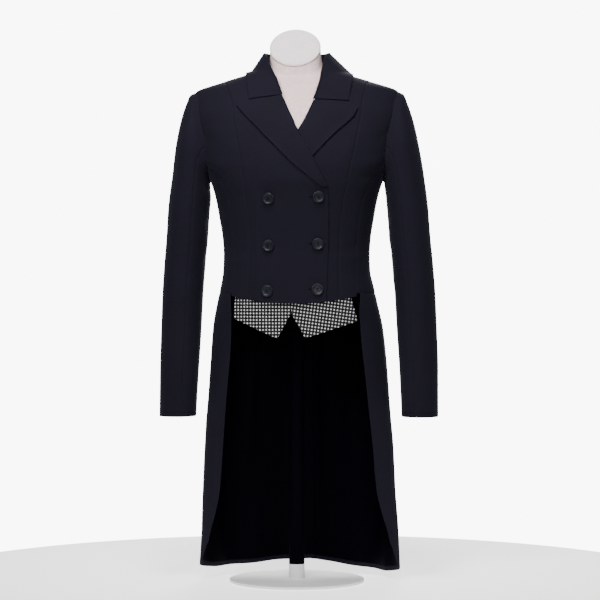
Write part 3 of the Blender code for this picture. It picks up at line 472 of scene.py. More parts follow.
@dataclass
class Cloth:
    """A grid of points on a surface, with its outward normals, that becomes a thin shell.

    Args:
        points: Rows by columns by 3, in millimetres.
        normals: Unit normals, shaped as points.
    """

    points: Array
    normals: Array

    def spans(self) -> tuple[Array, Array]:
        """Arc lengths from the first column and from the first row, at each point."""
        across = np.linalg.norm(np.diff(self.points, axis=1), axis=-1)
        down = np.linalg.norm(np.diff(self.points, axis=0), axis=-1)
        return (np.pad(np.cumsum(across, axis=1), ((0, 0), (1, 0))),
                np.pad(np.cumsum(down, axis=0), ((1, 0), (0, 0))))

    def trimmed(self, top: float, bottom: float, start: float, end: float,
                power: float = 24) -> Cloth:
        """Draw the edges in along the grid's own lines, by a share that falls off by a power."""
        across, down = self.spans()
        wide, tall = across[:, -1:], down[-1:]
        s = np.divide(across, wide, out=np.zeros_like(across), where=wide > TINY)
        t = down / tall
        pull_s = (start * (1 - s) ** power - end * s ** power)[..., None]
        pull_t = (top * (1 - t) ** power - bottom * t ** power)[..., None]
        way_s = unit(np.gradient(self.points, axis=1))
        way_t = unit(np.gradient(self.points, axis=0))
        return Cloth(self.points + way_s * pull_s + way_t * pull_t, self.normals)

    def relief(self, rounding: float, sewn: str, dip: float = 0.7,
               reach: float = 2.2) -> tuple[Array, Array]:
        """How far the edges round off, and how far the cloth dips at its sewn edges.

        Args:
            rounding: Radius of the rounded edges: the drop is that of a circle.
            sewn: Which edges are sewn to a neighbour, of top, bottom, start and end.
            dip: Depth of the dip at a seam, a bell of the distance over reach.
            reach: Half width of the dip.

        Returns:
            The drop of each face towards the middle of the wall, and the dip of both faces.
        """
        across, down = self.spans()
        away = {"start": across, "end": across[:, -1:] - across,
                "top": down, "bottom": down[-1:] - down}
        near = np.minimum.reduce(list(away.values()))
        short = 1 - np.clip(near / rounding, 0, 1)
        drop = rounding * (1 - np.sqrt(1 - short ** 2))
        sunk = np.zeros_like(near)
        for name in sewn.split():
            sunk = np.maximum(sunk, dip * np.exp(-(away[name] / reach) ** 2))
        return drop, sunk

    def shell(self, name: str, inner: Array, outer: Array, finish: Material,
              sewn: str = "", creased: bool = True, uv: Array | None = None,
              rounding: float | None = None) -> Object:
        """Closed wall between two offsets of the grid, with rounded and dipped edges.

        Args:
            name: Name of the piece.
            inner: Offset of the inner face along the normals.
            outer: Offset of the outer face.
            finish: Material.
            sewn: Edges that are sewn to a neighbour.
            creased: Whether the creases shape it.
            uv: Pattern coordinates in millimetres, or None for the arc lengths.
            rounding: Radius of the edges, or None for a little under half the wall.

        Returns:
            The piece.
        """
        inner, outer = (np.broadcast_to(d, self.points.shape[:2]) for d in (inner, outer))
        wall = float((outer - inner).min())
        drop, sunk = self.relief(rounding or EDGE_SHARE * wall, sewn)
        bump = CREASES.offset(self.points) if creased else 0.0
        faces = [self.points + self.normals * (d + bump - sunk + s * drop)[..., None]
                 for d, s in ((outer, -1), (inner, 1))]
        rows, columns = self.points.shape[:2]
        count = rows * columns
        number = np.arange(count).reshape(rows, columns)
        quads = grid_faces(rows, columns)
        rim = np.concatenate([number[0], number[1:, -1], number[-1, -2::-1], number[-2:0:-1, 0]])
        ahead = np.roll(rim, -1)
        every = np.concatenate([quads, quads[:, ::-1] + count,
                                np.stack([rim, ahead, ahead + count, rim + count], -1)])
        flat = (np.stack(self.spans(), -1) if uv is None else uv).reshape(-1, 2)
        return mesh_object(name, np.concatenate([f.reshape(-1, 3) for f in faces]),
                           every.tolist(), finish, np.concatenate([flat, flat]))


def grid_faces(rows: int, columns: int) -> Array:
    """Corner numbers of the faces between the points of a grid."""
    number = np.arange(rows * columns).reshape(rows, columns)
    return np.stack([number[:-1, :-1], number[:-1, 1:], number[1:, 1:], number[1:, :-1]],
                    -1).reshape(-1, 4)


def linked(name: str, data: bpy.types.ID) -> Object:
    """Object that shows a mesh, a lamp or a camera in the scene."""
    made = bpy.data.objects.new(name, data)
    bpy.context.scene.collection.objects.link(made)
    return made


def mesh_object(name: str, points: Array, faces: list[list[int]],
                finish: Material, uv: Array | None = None,
                sharp: float = 50.0) -> Object:
    """One closed mesh at its place, with outward faces, that rides on the part's body.

    Args:
        name: Name of the piece.
        points: Points in millimetres, in the draft's frame.
        faces: Corner numbers of each face.
        finish: Material.
        uv: Pattern coordinates of each point in millimetres, kept in metres.
        sharp: Angle in degrees over which an edge shades as sharp.

    Returns:
        The piece.
    """
    mesh = bpy.data.meshes.new(name)
    mesh.from_pydata(((points - DRAFT_MIDDLE) * MM).tolist(), [], faces)
    if uv is not None:
        corner = np.empty(len(mesh.loops), int)
        mesh.loops.foreach_get("vertex_index", corner)
        layer = mesh.uv_layers.new(name="cloth")
        layer.data.foreach_set("uv", (uv[corner] * MM).astype(np.float32).ravel())
    work = bmesh.new()
    work.from_mesh(mesh)
    bmesh.ops.remove_doubles(work, verts=work.verts, dist=TINY)
    bmesh.ops.recalc_face_normals(work, faces=work.faces)
    work.to_mesh(mesh)
    work.free()
    mesh.shade_smooth()
    mesh.set_sharp_from_angle(angle=math.radians(sharp))
    mesh.materials.append(finish)
    made = linked(name, mesh)
    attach(made, "root")
    return made


def spread(count: int, size: float, lead: tuple = (0.12, 0.4, 0.8, 1.4, 2.4),
           clearance: float = 1.3) -> Array:
    """Shares from 0 to 1: evenly spaced, with close ones at both ends where edges round off.

    Args:
        count: How many even steps.
        size: Length in millimetres that the shares run along.
        lead: Distances in millimetres of the close ones from each end.
        clearance: How much farther in than the last of them the even steps set in.

    Returns:
        Increasing shares.
    """
    close = np.array(lead) / size
    inside = np.linspace(0, 1, count + 1)[1:-1]
    clear = close[-1] * clearance
    inside = inside[(inside > clear) & (inside < 1 - clear)]
    return np.concatenate([[0], close, inside, 1 - close[::-1], [1]])


def lathe(name: str, rings: Array, finish: Material, sharp: float = 40.0,
          uv: Array | None = None) -> Object:
    """Closed solid through rings of points; a ring of no size closes into a pole."""
    rings = np.concatenate([rings, rings[:, :1]], axis=1)
    uv = np.stack(Cloth(rings, rings).spans(), -1) if uv is None else uv
    return mesh_object(name, rings.reshape(-1, 3), grid_faces(*rings.shape[:2]).tolist(),
                       finish, uv.reshape(-1, 2), sharp)


def closed_ends(rings: Array) -> Array:
    """Rings with a ring of no size added at the middle of each end."""
    ends = [np.repeat(ring.mean(axis=1, keepdims=True), rings.shape[1], axis=1)
            for ring in (rings[:1], rings[-1:])]
    return np.concatenate([ends[0], rings, ends[1]])


def circle(radius: Array, height: Array, sides: int, centre: Array, axes: Array) -> Array:
    """Rings of given radii and heights round the third of three axes."""
    turn = np.linspace(0, 2 * math.pi, sides, endpoint=False)
    flat = np.cos(turn)[:, None] * axes[0] + np.sin(turn)[:, None] * axes[1]
    return (centre + np.asarray(radius)[:, None, None] * flat
            + np.asarray(height)[:, None, None] * axes[2])


def swept(path: Array, normals: Array, radius: Array, sides: int) -> Array:
    """Rings of a tube along a path: circles across the way from each point to the next."""
    way = unit(np.gradient(path, axis=0))
    out = unit(normals - (normals * way).sum(-1, keepdims=True) * way)
    aside = np.cross(way, out)
    turn = np.linspace(0, 2 * math.pi, sides, endpoint=False)[None, :, None]
    return path[:, None] + radius[:, None, None] * (
        np.cos(turn) * out[:, None] + np.sin(turn) * aside[:, None])


def stitches(name: str, path: Array, normals: Array, finish: Material,
             length: float = 2.3, gap: float = 0.7, radius: float = 0.26) -> Object:
    """A row of machine stitches: short spindles laid along a path.

    Args:
        name: Name of the piece.
        path: Points that the row follows.
        normals: The cloth's normals there.
        finish: Material of the thread.
        length: Length of a stitch.
        gap: Distance to the next.
        radius: Half thickness of the thread.

    Returns:
        The piece, with a ring of five points at five places along each stitch.
    """
    ring, arch, sink, blunt = 5, 0.35, 0.3, 0.02
    arc = np.concatenate([[0], np.cumsum(np.linalg.norm(np.diff(path, axis=0), axis=1))])
    count = int(arc[-1] / (length + gap))
    begin = (np.arange(count) + 0.5) * arc[-1] / count - length / 2
    share = np.linspace(0, 1, ring)
    at = (begin[:, None] + share * length).ravel()
    place, out = (np.stack([np.interp(at, arc, line[:, k]) for k in range(3)], -1)
                  for line in (path, normals))
    out = unit(out)
    thick = np.tile(radius * np.sqrt(np.maximum(1 - (2 * share - 1) ** 4, blunt)), count)
    rise = np.tile(arch * radius * np.sin(math.pi * share) - sink * radius, count)
    rings = swept(place + out * rise[:, None], out, thick, ring).reshape(count, ring, ring, 3)
    ends = rings[:, [0, -1]].mean(axis=2)
    points = np.concatenate([rings.reshape(count, ring * ring, 3), ends], axis=1)
    number = np.arange(ring * ring).reshape(ring, ring)
    ahead = np.roll(number, -1, axis=1)
    sides = np.stack([number[:-1], ahead[:-1], ahead[1:], number[1:]], -1).reshape(-1, 4)
    tips = np.concatenate([
        np.stack([ahead[0], number[0], np.full(ring, ring * ring)], -1),
        np.stack([number[-1], ahead[-1], np.full(ring, ring * ring + 1)], -1)])
    base = (np.arange(count) * points.shape[1])[:, None, None]
    faces = [(part[None] + base).reshape(-1, part.shape[1]).tolist() for part in (sides, tips)]
    return mesh_object(name, points.reshape(-1, 3), faces[0] + faces[1], finish, sharp=180.0)


def stands_for(piece: Object, node: str) -> Object:
    """Show a piece in place of its solid, which is hidden."""
    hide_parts(node)
    return piece


def cloth_piece(cloth: Cloth, node: str, inner: Array, outer: Array, finish: Finish,
                held: str, rests_on: list[str], **making: object) -> Object:
    """Shell of a cloth that stands for its solid.

    Args:
        cloth: The cloth.
        node: Name of its solid.
        inner: Offset of the inner face along the normals.
        outer: Offset of the outer face.
        finish: Finish, whose ending the piece's name takes.
        held: How the cloth is held; not used.
        rests_on: Names of the pieces that it rests on; not used.
        making: Further arguments of Cloth.shell.

    Returns:
        The piece.
    """
    piece = cloth.shell(f"{node}_{finish.ending}", inner, outer, finish.made(), **making)
    return stands_for(piece, node)


# Finishes


WHITE = (1.0, 1.0, 1.0, 1.0)


def linear(colour: str) -> tuple[float, float, float, float]:
    """Linear colour of an sRGB hex value."""
    parts = [int(colour[i:i + 2], 16) / 255 for i in (1, 3, 5)]
    return (*(c / 12.92 if c <= 0.04045 else ((c + 0.055) / 1.055) ** 2.4 for c in parts), 1.0)


MATH, NOISE = "ShaderNodeMath", "ShaderNodeTexNoise"


def add(tree: bpy.types.NodeTree, kind: str, inputs: dict | None = None,
        **settings: object) -> bpy.types.Node:
    """Add one node, with its settings, and with its inputs set or linked.

    Args:
        tree: Node tree of the material or the world.
        kind: Blender's name of the node.
        inputs: Input name or number to a value, an output socket, or a node whose first output
            is meant.
        settings: The node's own settings.

    Returns:
        The node.
    """
    made = tree.nodes.new(kind)
    for key, value in settings.items():
        setattr(made, key, value)
    for key, value in (inputs or {}).items():
        source = value.outputs[0] if isinstance(value, bpy.types.Node) else value
        if isinstance(source, Socket):
            tree.links.new(source, made.inputs[key])
        else:
            made.inputs[key].default_value = source
    return made


@dataclass(frozen=True)
class Finish:
    """A material of one colour and roughness, on which the others build.

    Its slot is that of the record, and its ending closes the names of cloth pieces. Lengths
    are in millimetres.
    """

    name: str
    colour: str
    roughness: float
    slot: str = ""
    ending: str = "cloth"
    light: str = ""
    sheen: float = 0.0
    sheen_roughness: float = 0.5
    sheen_tint: str = "#ffffff"
    specular: float = 0.5
    glow: float = 0.0
    speck: float = 0.6
    strength: float = 0.12
    depth: float = 0.05

    def made(self) -> Material:
        """The material, made once: its colours are mixed and its relief is a bump."""
        known = bpy.data.materials.get(self.name)
        if known:
            return known
        material = bpy.data.materials.new(self.name)
        material.use_nodes = True
        tree = material.node_tree
        shader = tree.nodes["Principled BSDF"]
        values = {"Base Color": linear(self.colour), "Roughness": self.roughness,
                  "Sheen Weight": self.sheen, "Sheen Roughness": self.sheen_roughness,
                  "Sheen Tint": linear(self.sheen_tint), "Specular IOR Level": self.specular}
        if self.glow:
            values.update({"Emission Color": WHITE, "Emission Strength": self.glow})
        for name, value in values.items():
            shader.inputs[name].default_value = value
        share, height = self.detail(tree)
        if share:
            colour = add(tree, "ShaderNodeMix", {"Factor": share, "A": linear(self.colour),
                                                 "B": linear(self.light)}, data_type="RGBA")
            tree.links.new(colour.outputs["Result"], shader.inputs["Base Color"])
        bump = add(tree, "ShaderNodeBump", {"Height": height, "Strength": self.strength,
                                            "Distance": self.depth * MM})
        tree.links.new(bump.outputs["Normal"], shader.inputs["Normal"])
        return material

    def detail(self, tree: bpy.types.NodeTree) -> tuple[bpy.types.Node | None, bpy.types.Node]:
        """Share of the light colour and height of the relief.

        Args:
            tree: Node tree of the material.

        Returns:
            No share, and fine grain: low specks, as powder coat or moulding has.
        """
        place = add(tree, "ShaderNodeTexCoord").outputs["Object"]
        return None, add(tree, NOISE, {"Vector": place, "Scale": 1 / (self.speck * MM),
                                       "Detail": 2.0})

    def threads(self, tree: bpy.types.NodeTree, pitch: float,
                turned: float = 0.0) -> tuple[Socket, Socket]:
        """Thread counts across and along the cloth, from its pattern coordinates.

        Args:
            tree: Node tree of the material.
            pitch: Distance from thread to thread in millimetres.
            turned: Angle in degrees at which the cloth was cut.

        Returns:
            The two coordinates, counted in threads.
        """
        chart = add(tree, "ShaderNodeUVMap", uv_map="cloth").outputs["UV"]
        laid = add(tree, "ShaderNodeMapping", {"Vector": chart, "Scale": (1 / (pitch * MM),) * 3,
                                               "Rotation": (0, 0, math.radians(turned))})
        parts = add(tree, "ShaderNodeSeparateXYZ", {"Vector": laid})
        return parts.outputs["X"], parts.outputs["Y"]

    def crossed(self, tree: bpy.types.NodeTree, counts: tuple[Socket, Socket]) -> bpy.types.Node:
        """Crossed threads: the product of a half wave for each thread of both counts."""
        waves = [add(tree, MATH, {0: add(tree, MATH, {0: count, 1: math.pi},
                                         operation="MULTIPLY")}, operation="SINE")
                 for count in counts]
        return add(tree, MATH, dict(enumerate(waves)), operation="MULTIPLY")

    def streaks(self, tree: bpy.types.NodeTree, counts: tuple[Socket, Socket], scale: tuple,
                detail: float) -> bpy.types.Node:
        """Noise on the thread counts, stretched by a scale for each way."""
        both = add(tree, "ShaderNodeCombineXYZ", {"X": counts[0], "Y": counts[1], "Z": 0.0})
        laid = add(tree, "ShaderNodeMapping", {"Vector": both, "Scale": scale})
        return add(tree, NOISE, {"Vector": laid, "Scale": 1.0, "Detail": detail})


@dataclass(frozen=True)
class WorstedTwill(Finish):
    """Navy worsted wool suiting: fine diagonal ribs, hardly any gloss, a soft pale sheen.

    The ribs are drawn 1.3 mm apart, coarser than the real 0.5 mm, so that they show.
    """

    light: str = "#15131f"
    strength: float = 0.35
    depth: float = 0.10
    rib: float = 1.3
    rib_slope: float = 0.55
    rib_share: float = 0.35
    slub: float = 2.2
    slub_sway: float = 0.5
    slub_height: float = 0.8
    wear: float = 70.0
    wear_share: float = 0.55

    def detail(self, tree: bpy.types.NodeTree) -> tuple[bpy.types.Node, bpy.types.Node]:
        """Twill ribs as a sine of the two thread counts, broken up by slubs and wear."""
        across, along = self.threads(tree, self.rib)
        place = add(tree, "ShaderNodeTexCoord").outputs["Object"]
        slub = add(tree, NOISE, {"Vector": place, "Scale": 1 / (self.slub * MM), "Detail": 3.0,
                                 "Roughness": 0.6})
        worn = add(tree, NOISE, {"Vector": place, "Scale": 1 / (self.wear * MM), "Detail": 3.0,
                                 "Roughness": 0.55})
        steep = add(tree, MATH, {0: along, 1: self.rib_slope}, operation="MULTIPLY")
        lay = add(tree, MATH, {0: across, 1: steep}, operation="ADD")
        swayed = add(tree, MATH, {0: slub, 1: self.slub_sway, 2: lay}, operation="MULTIPLY_ADD")
        turn = add(tree, MATH, {0: swayed, 1: 2 * math.pi}, operation="MULTIPLY")
        wave = add(tree, MATH, {0: turn}, operation="SINE")
        rib = add(tree, "ShaderNodeMapRange", {"Value": wave, "From Min": -1.0, "From Max": 1.0})
        shade = add(tree, MATH, {0: worn, 1: self.wear_share}, operation="MULTIPLY")
        share = add(tree, MATH, {0: rib, 1: self.rib_share, 2: shade}, operation="MULTIPLY_ADD")
        return share, add(tree, MATH, {0: slub, 1: self.slub_height, 2: rib},
                          operation="MULTIPLY_ADD")


@dataclass(frozen=True)
class LiningSatin(Finish):
    """Black viscose satin lining: long floats give it a low, soft gloss."""

    strength: float = 0.4
    depth: float = 0.10
    float_length: float = 1.5
    streak: tuple = (2.0, 0.25, 1.0)
    slack: float = 45.0
    slack_height: float = 14.0

    def detail(self, tree: bpy.types.NodeTree) -> tuple[None, bpy.types.Node]:
        """Faint streaks along the warp and the slack of loosely hung satin."""
        streak = self.streaks(tree, self.threads(tree, self.float_length), self.streak, 2.0)
        place = add(tree, "ShaderNodeTexCoord").outputs["Object"]
        slack = add(tree, NOISE, {"Vector": place, "Scale": 1 / (self.slack * MM),
                                  "Detail": 1.5})
        return None, add(tree, MATH, {0: slack, 1: self.slack_height, 2: streak},
                         operation="MULTIPLY_ADD")


@dataclass(frozen=True)
class WovenCheck(Finish):
    """Small black and white check in plain weave, with bands of eight threads to a repeat."""

    light: str = "#dadada"
    strength: float = 0.5
    depth: float = 0.18
    repeat: float = 6.2
    threads_in_repeat: int = 8
    # Threads from a dark band's middle at which light ones set in, and how proud they peep
    light_band: tuple = (2.42, 2.6)
    peep: tuple = (0.8, 1.0)
    turned: float = 0.0

    def detail(self, tree: bpy.types.NodeTree) -> tuple[bpy.types.Node, bpy.types.Node]:
        """The chart: the warp is light in a band of each repeat, and the weft too.

        Where light crosses light it is white, dark on dark is black, and where they mix, the
        light threads peep out between the dark ones.
        """
        counts = self.threads(tree, self.repeat / self.threads_in_repeat, self.turned)
        bands = {}
        for at, count in enumerate(counts):
            away = add(tree, MATH, {0: count, 1: self.threads_in_repeat / 2},
                       operation="PINGPONG")
            bands[at] = add(tree, "ShaderNodeMapRange",
                            {"Value": away, "From Min": self.light_band[0],
                             "From Max": self.light_band[1]})
        cross = self.crossed(tree, counts)
        peep = add(tree, "ShaderNodeMapRange",
                   {"Value": cross, "From Min": self.peep[0], "From Max": self.peep[1]})
        both = add(tree, MATH, bands, operation="MINIMUM")
        either = add(tree, MATH, bands, operation="MAXIMUM")
        mixed = add(tree, MATH, {0: either, 1: peep}, operation="MULTIPLY")
        white = add(tree, MATH, {0: mixed, 1: both}, operation="MAXIMUM")
        return white, add(tree, MATH, {0: cross}, operation="ABSOLUTE")


@dataclass(frozen=True)
class Linen(Finish):
    """Plain woven linen cover: uneven threads and slubs, no gloss.

    The threads are drawn 1.6 mm apart, coarser than the real 0.7 mm, so that they show.
    """

    light: str = "#e8d0cf"
    strength: float = 0.45
    depth: float = 0.22
    thread: float = 1.6
    thread_share: float = 0.14
    thread_height: float = 0.4
    slubs: tuple = ((0.9, 0.10, 1.0), (0.10, 0.9, 1.0))
    slub_tone: tuple = (0.7, 1.3)

    def detail(self, tree: bpy.types.NodeTree) -> tuple[bpy.types.Node, bpy.types.Node]:
        """Crossed threads, and slubs along both ways of the cloth."""
        counts = self.threads(tree, self.thread)
        cross = self.crossed(tree, counts)
        slubs = [self.streaks(tree, counts, scale, 3.0) for scale in self.slubs]
        mixed = add(tree, MATH, dict(enumerate(slubs)), operation="ADD")
        tone = add(tree, "ShaderNodeMapRange",
                   {"Value": mixed, "From Min": self.slub_tone[0],
                    "From Max": self.slub_tone[1]})
        share = add(tree, MATH, {0: cross, 1: self.thread_share, 2: tone},
                    operation="MULTIPLY_ADD")
        return share, add(tree, MATH, {0: cross, 1: self.thread_height, 2: mixed},
                          operation="MULTIPLY_ADD")


SUITING = WorstedTwill("navy worsted twill", "#0d0b14", 0.88, "suiting", sheen=0.07,
                       sheen_roughness=0.4, sheen_tint="#9a9cb8", specular=0.10)
# Lining colour, partly its own black and partly painted shade: it is darkened far below real black
# satin to stand for the shade inside the tails.
LINING_WITH_PAINTED_SHADE = LiningSatin("black satin lining", "#020107", 0.5, "lining", "satin", specular=0.02)
CHECK = WovenCheck("woven black and white check", "#0b0b0d", 0.9, "check", "check",
                   specular=0.2)
CHECK_TURNED = WovenCheck("woven check cut askew", "#0b0b0d", 0.9, "check", "check",
                          specular=0.2, turned=8.0)
LINEN = Linen("natural linen", "#cbafae", 0.95, "linen", specular=0.2)
CAP_LINEN = Linen("pale linen of the cap", "#dccccf", 0.95, "cap_linen", specular=0.2,
                  light="#efe2e4")
MOULDED = Finish("moulded polyester button", "#10111b", 0.42, "button", specular=0.22)
THREAD = Finish("navy sewing thread", "#07070d", 0.8, "suiting", specular=0.06)
# Pole colour, partly its own black and partly painted shade: it is darkened far below real black
# steel so that the pole sinks into the shade between the tails.
POLE_COAT_WITH_PAINTED_SHADE = Finish("black powder coated steel", "#020106", 0.7, "stand_steel", specular=0.02)
BASE_COAT = Finish("pale powder coated steel", "#e9e9ea", 0.5, "stand_steel")
ACRYLIC = Finish("backlit white acrylic", "#ffffff", 0.9, specular=0.1, glow=1.5)


# The coat's pieces


def body_rows(top: float, bottom: float) -> Array:
    """Heights of the rows of a bodice panel, close together where the armhole turns.

    From the top of the princess seam to the armhole's foot all panels share their heights, so
    that their seams meet.
    """
    arm_rows, shoulder_rows, row_step, clear, over = 44, 14, 5, 0.6, 0.1
    arm = ARM_MIDDLE + ARM_HALF * np.cos(np.linspace(0, math.pi, arm_rows))
    rise = PRINCESS_TOP - SHOULDER_TIP
    shoulder = PRINCESS_TOP - rise * np.linspace(0, 1, shoulder_rows)[:-1] ** 2
    size = top - bottom
    plain = top - size * spread(int(size / row_step), size)
    plain = plain[(plain > PRINCESS_TOP + clear) | (plain < UNDERARM - 1)]
    rows = np.concatenate([plain, [PRINCESS_TOP + over], shoulder, arm])
    return np.sort(rows[(rows <= top) & (rows >= bottom)])[::-1]


@dataclass
class BodicePanels:
    """Fronts, side fronts, side bodies and backs: walls on the coat's form between seams."""

    top: float = 989.5
    side_seam_top: float = 794.0
    back_seam_top: float = 833.0
    side_length: float = 230.0
    # Below the first level the columns of a side body are even, and the hem's curve sets in
    # below the second
    regular_level: float = 735.0
    hem_level: float = 640.0
    # Columns across each panel and its width, and rows down a side body
    front_columns: tuple = (34, 130.0)
    side_front_columns: tuple = (14, 40.0)
    back_columns: tuple = (34, 150.0)
    side_body_columns: tuple = (20, 90.0)
    side_body_rows: int = 46

    def between(self, rows: Array, columns: Array, start: object, end: object,
                side: Side, hem: bool) -> Cloth:
        """Grid between two seams: the angle runs evenly from one to the other at each height.

        Args:
            rows: Heights, from the top.
            columns: Shares across.
            start: Function of height that gives the angle of the first seam.
            end: The same for the last.
            side: The wearer's side.
            hem: Whether the bottom follows the curved front hem.

        Returns:
            The cloth.
        """
        z = np.repeat(rows[:, None], len(columns), axis=1)
        if hem:
            angle = start(z) + (end(z) - start(z)) * columns
            x = FORM.point(z[-1], angle[-1], side)[:, 0]
            z = z + ramp(z, self.hem_level, rows[-1]) * (front_hem(x) - FRONT_HEM_MIDDLE)
        angle = start(z) + (end(z) - start(z)) * columns
        return Cloth(FORM.point(z, angle, side), FORM.normal(z, angle, side))

    def panel(self, name: str, side: Side, cloth: Cloth, sewn: str, inner: Array = -WALL,
              outer: Array = 0.0) -> Object:
        """Panel of suiting, stretched over the dress form."""
        return cloth_piece(cloth, f"{name}_{side.word}", inner, outer, SUITING, "stretched",
                           ["form_torso_linen"], sewn=sewn)

    def front(self, side: Side) -> Object:
        """Centre front, from its edge to the princess seam; the right one laps over."""
        cloth = self.between(body_rows(self.top, FRONT_HEM_MIDDLE), spread(*self.front_columns),
                             lambda z: FORM.front_edge(z, side),
                             lambda z: FORM.princess(z, side), side, True)
        lift = FORM.lift(cloth.points[..., 0], cloth.points[..., 2], side)
        return self.panel("front", side, cloth.trimmed(SHORT, SHORT, SHORT, TUCK), "end",
                          lift - FRONT_WALL, lift)

    def side_front(self, side: Side) -> Object:
        """Side front, between the princess seam and the side body, with the armhole's front."""
        cloth = self.between(body_rows(PRINCESS_TOP, FRONT_HEM_MIDDLE),
                             spread(*self.side_front_columns),
                             lambda z: FORM.princess(z, side),
                             lambda z: FORM.side_seam(z, side), side, True)
        return self.panel("side_front", side, cloth.trimmed(TUCK, SHORT, TUCK, TUCK),
                          "start end")

    def back(self, side: Side) -> Object:
        """Back, from the side body's seam to the middle seam."""
        cloth = self.between(body_rows(self.top, WAIST_SEAM), spread(*self.back_columns),
                             FORM.back_seam, lambda z: np.full_like(z, math.pi), side, False)
        return self.panel("back", side, cloth.trimmed(SHORT, TUCK, TUCK, TUCK),
                          "start end bottom")

    def corner_turn(self, level: float, hind: bool) -> float:
        """Turn of the armhole at a height, on its front or its hind half."""
        turn = math.acos((level - ARM_MIDDLE) / ARM_HALF) * 2 / math.pi
        return 4 - turn if hind else turn

    def side_body(self, side: Side) -> Object:
        """Side body under the arm: its top edge is the bottom of the armhole.

        Columns start at even turns of the armhole and fan out to even shares between the two
        seams by regular_level.
        """
        share = spread(*self.side_body_columns)
        turn = (self.corner_turn(self.side_seam_top, False) * (1 - share)
                + self.corner_turn(self.back_seam_top, True) * share)
        top = armhole_curve(turn, side)
        first = FORM.side_seam(top[:, 2], side)
        last = FORM.back_seam(top[:, 2])
        begun = (FORM.angle_at_y(top[:, 2], top[:, 1]) - first) / (last - first)
        begun[0], begun[-1] = 0, 1
        down = spread(self.side_body_rows, self.side_length)[:, None]
        z = top[:, 2] + (WAIST_SEAM - top[:, 2]) * down
        fan = ramp(down, 0, (self.side_seam_top - self.regular_level) / self.side_length)
        angle = FORM.side_seam(z, side) + (FORM.back_seam(z) - FORM.side_seam(z, side)) * (
            begun + (share - begun) * fan)
        cloth = Cloth(FORM.point(z, angle, side), FORM.normal(z, angle, side))
        return self.panel("side_body", side, cloth.trimmed(TUCK, TUCK, TUCK, TUCK),
                          "start end bottom")


@dataclass
class Lapels:
    """Peaked lapels: turned back on the fronts, with a rounded roll over the fronts' edge."""

    tables = {
        Side.RIGHT: Table(
            "step roll_z outer_x outer_z",
            (0.0, 931, -110, 912), (0.12, 915, -94, 893), (0.25, 895, -77, 875),
            (0.38, 874, -54, 851), (0.52, 848, -30, 827), (0.66, 822, -5, 802),
            (0.80, 795, 22, 780), (0.91, 772, 43, 763), (1.0, 757, 55, 754),
        ),
        Side.LEFT: Table(
            "step roll_z outer_x outer_z",
            (0.0, 921, 120, 906), (0.12, 908, 112, 890), (0.25, 893, 98, 875),
            (0.40, 872, 78, 857), (0.55, 850, 55, 833), (0.70, 828, 32, 808),
            (0.85, 803, 12, 790), (1.0, 782, -12, 775),
        ),
    }
    notches = {Side.RIGHT: (0.69, 2.2), Side.LEFT: (0.79, 6.5)}
    # The roll's mid line past the front's edge: how far in from the edge, and its height
    nose = np.array([(-0.75, -2.0), (-1.05, -1.0), (-0.9, 0.1), (-0.35, 0.95), (0.6, 1.4)])
    nose_reach: float = 1.6
    belly: float = 1.1
    curl: float = 1.9
    # Rows and columns, each with the length that they run along
    rows: tuple = (64, 230.0)
    columns: tuple = (26, 75.0)

    def one(self, side: Side) -> Object:
        """One lapel, from the roll over the front's edge out to its free edge and peak."""
        table, edge = self.tables[side], EDGES[side]
        step = spread(*self.rows)[:, None]
        share = spread(*self.columns)[3:]
        share = (share - share[0]) / (1 - share[0])
        roll_z = table.at("roll_z", step)
        z = roll_z + (table.at("outer_z", step) - roll_z) * share
        place, rise = self.notches[side]
        peak = rise * np.minimum(share / place, (1 - share) / (1 - place))
        z = z + peak * np.clip(1 - step / table.keys[1], 0, 1)
        roll_x = edge.at("x", roll_z)
        x = roll_x + (table.at("outer_x", step) - roll_x) * share
        lift = FORM.lift(x, z, side)
        flat, normals = FORM.on_front(x, z, side, lift + LAPEL_GAP + WALL / 2)
        belly = self.belly * np.sin(math.pi * share) ** 2 * np.sin(math.pi * np.clip(step, 0, 1))
        curl = self.curl * share ** 7 * (1 - step ** 4)
        flat = flat + normals * (belly + curl)[..., None]
        start, out = flat[:, :1] - normals[:, :1] * (LAPEL_GAP + WALL / 2), normals[:, :1]
        inward = unit(flat[:, 1:2] - flat[:, :1])
        nose = start + inward * self.nose[:, :1] + out * self.nose[:, 1:]
        reach = np.linalg.norm(flat - flat[:, :1], axis=-1)
        keep = reach.mean(axis=0) > self.nose_reach
        points = np.concatenate([nose, flat[:, keep]], axis=1)
        turned = np.cross(np.gradient(points, axis=1), np.gradient(points, axis=0))
        facing = np.sign((turned[:, -3] * normals[:, -3]).sum(-1).mean())
        return cloth_piece(Cloth(points, unit(turned * facing)), f"lapel_{side.word}",
                           -WALL / 2, WALL / 2, SUITING, "folded", [f"front_{side.word}_cloth"])


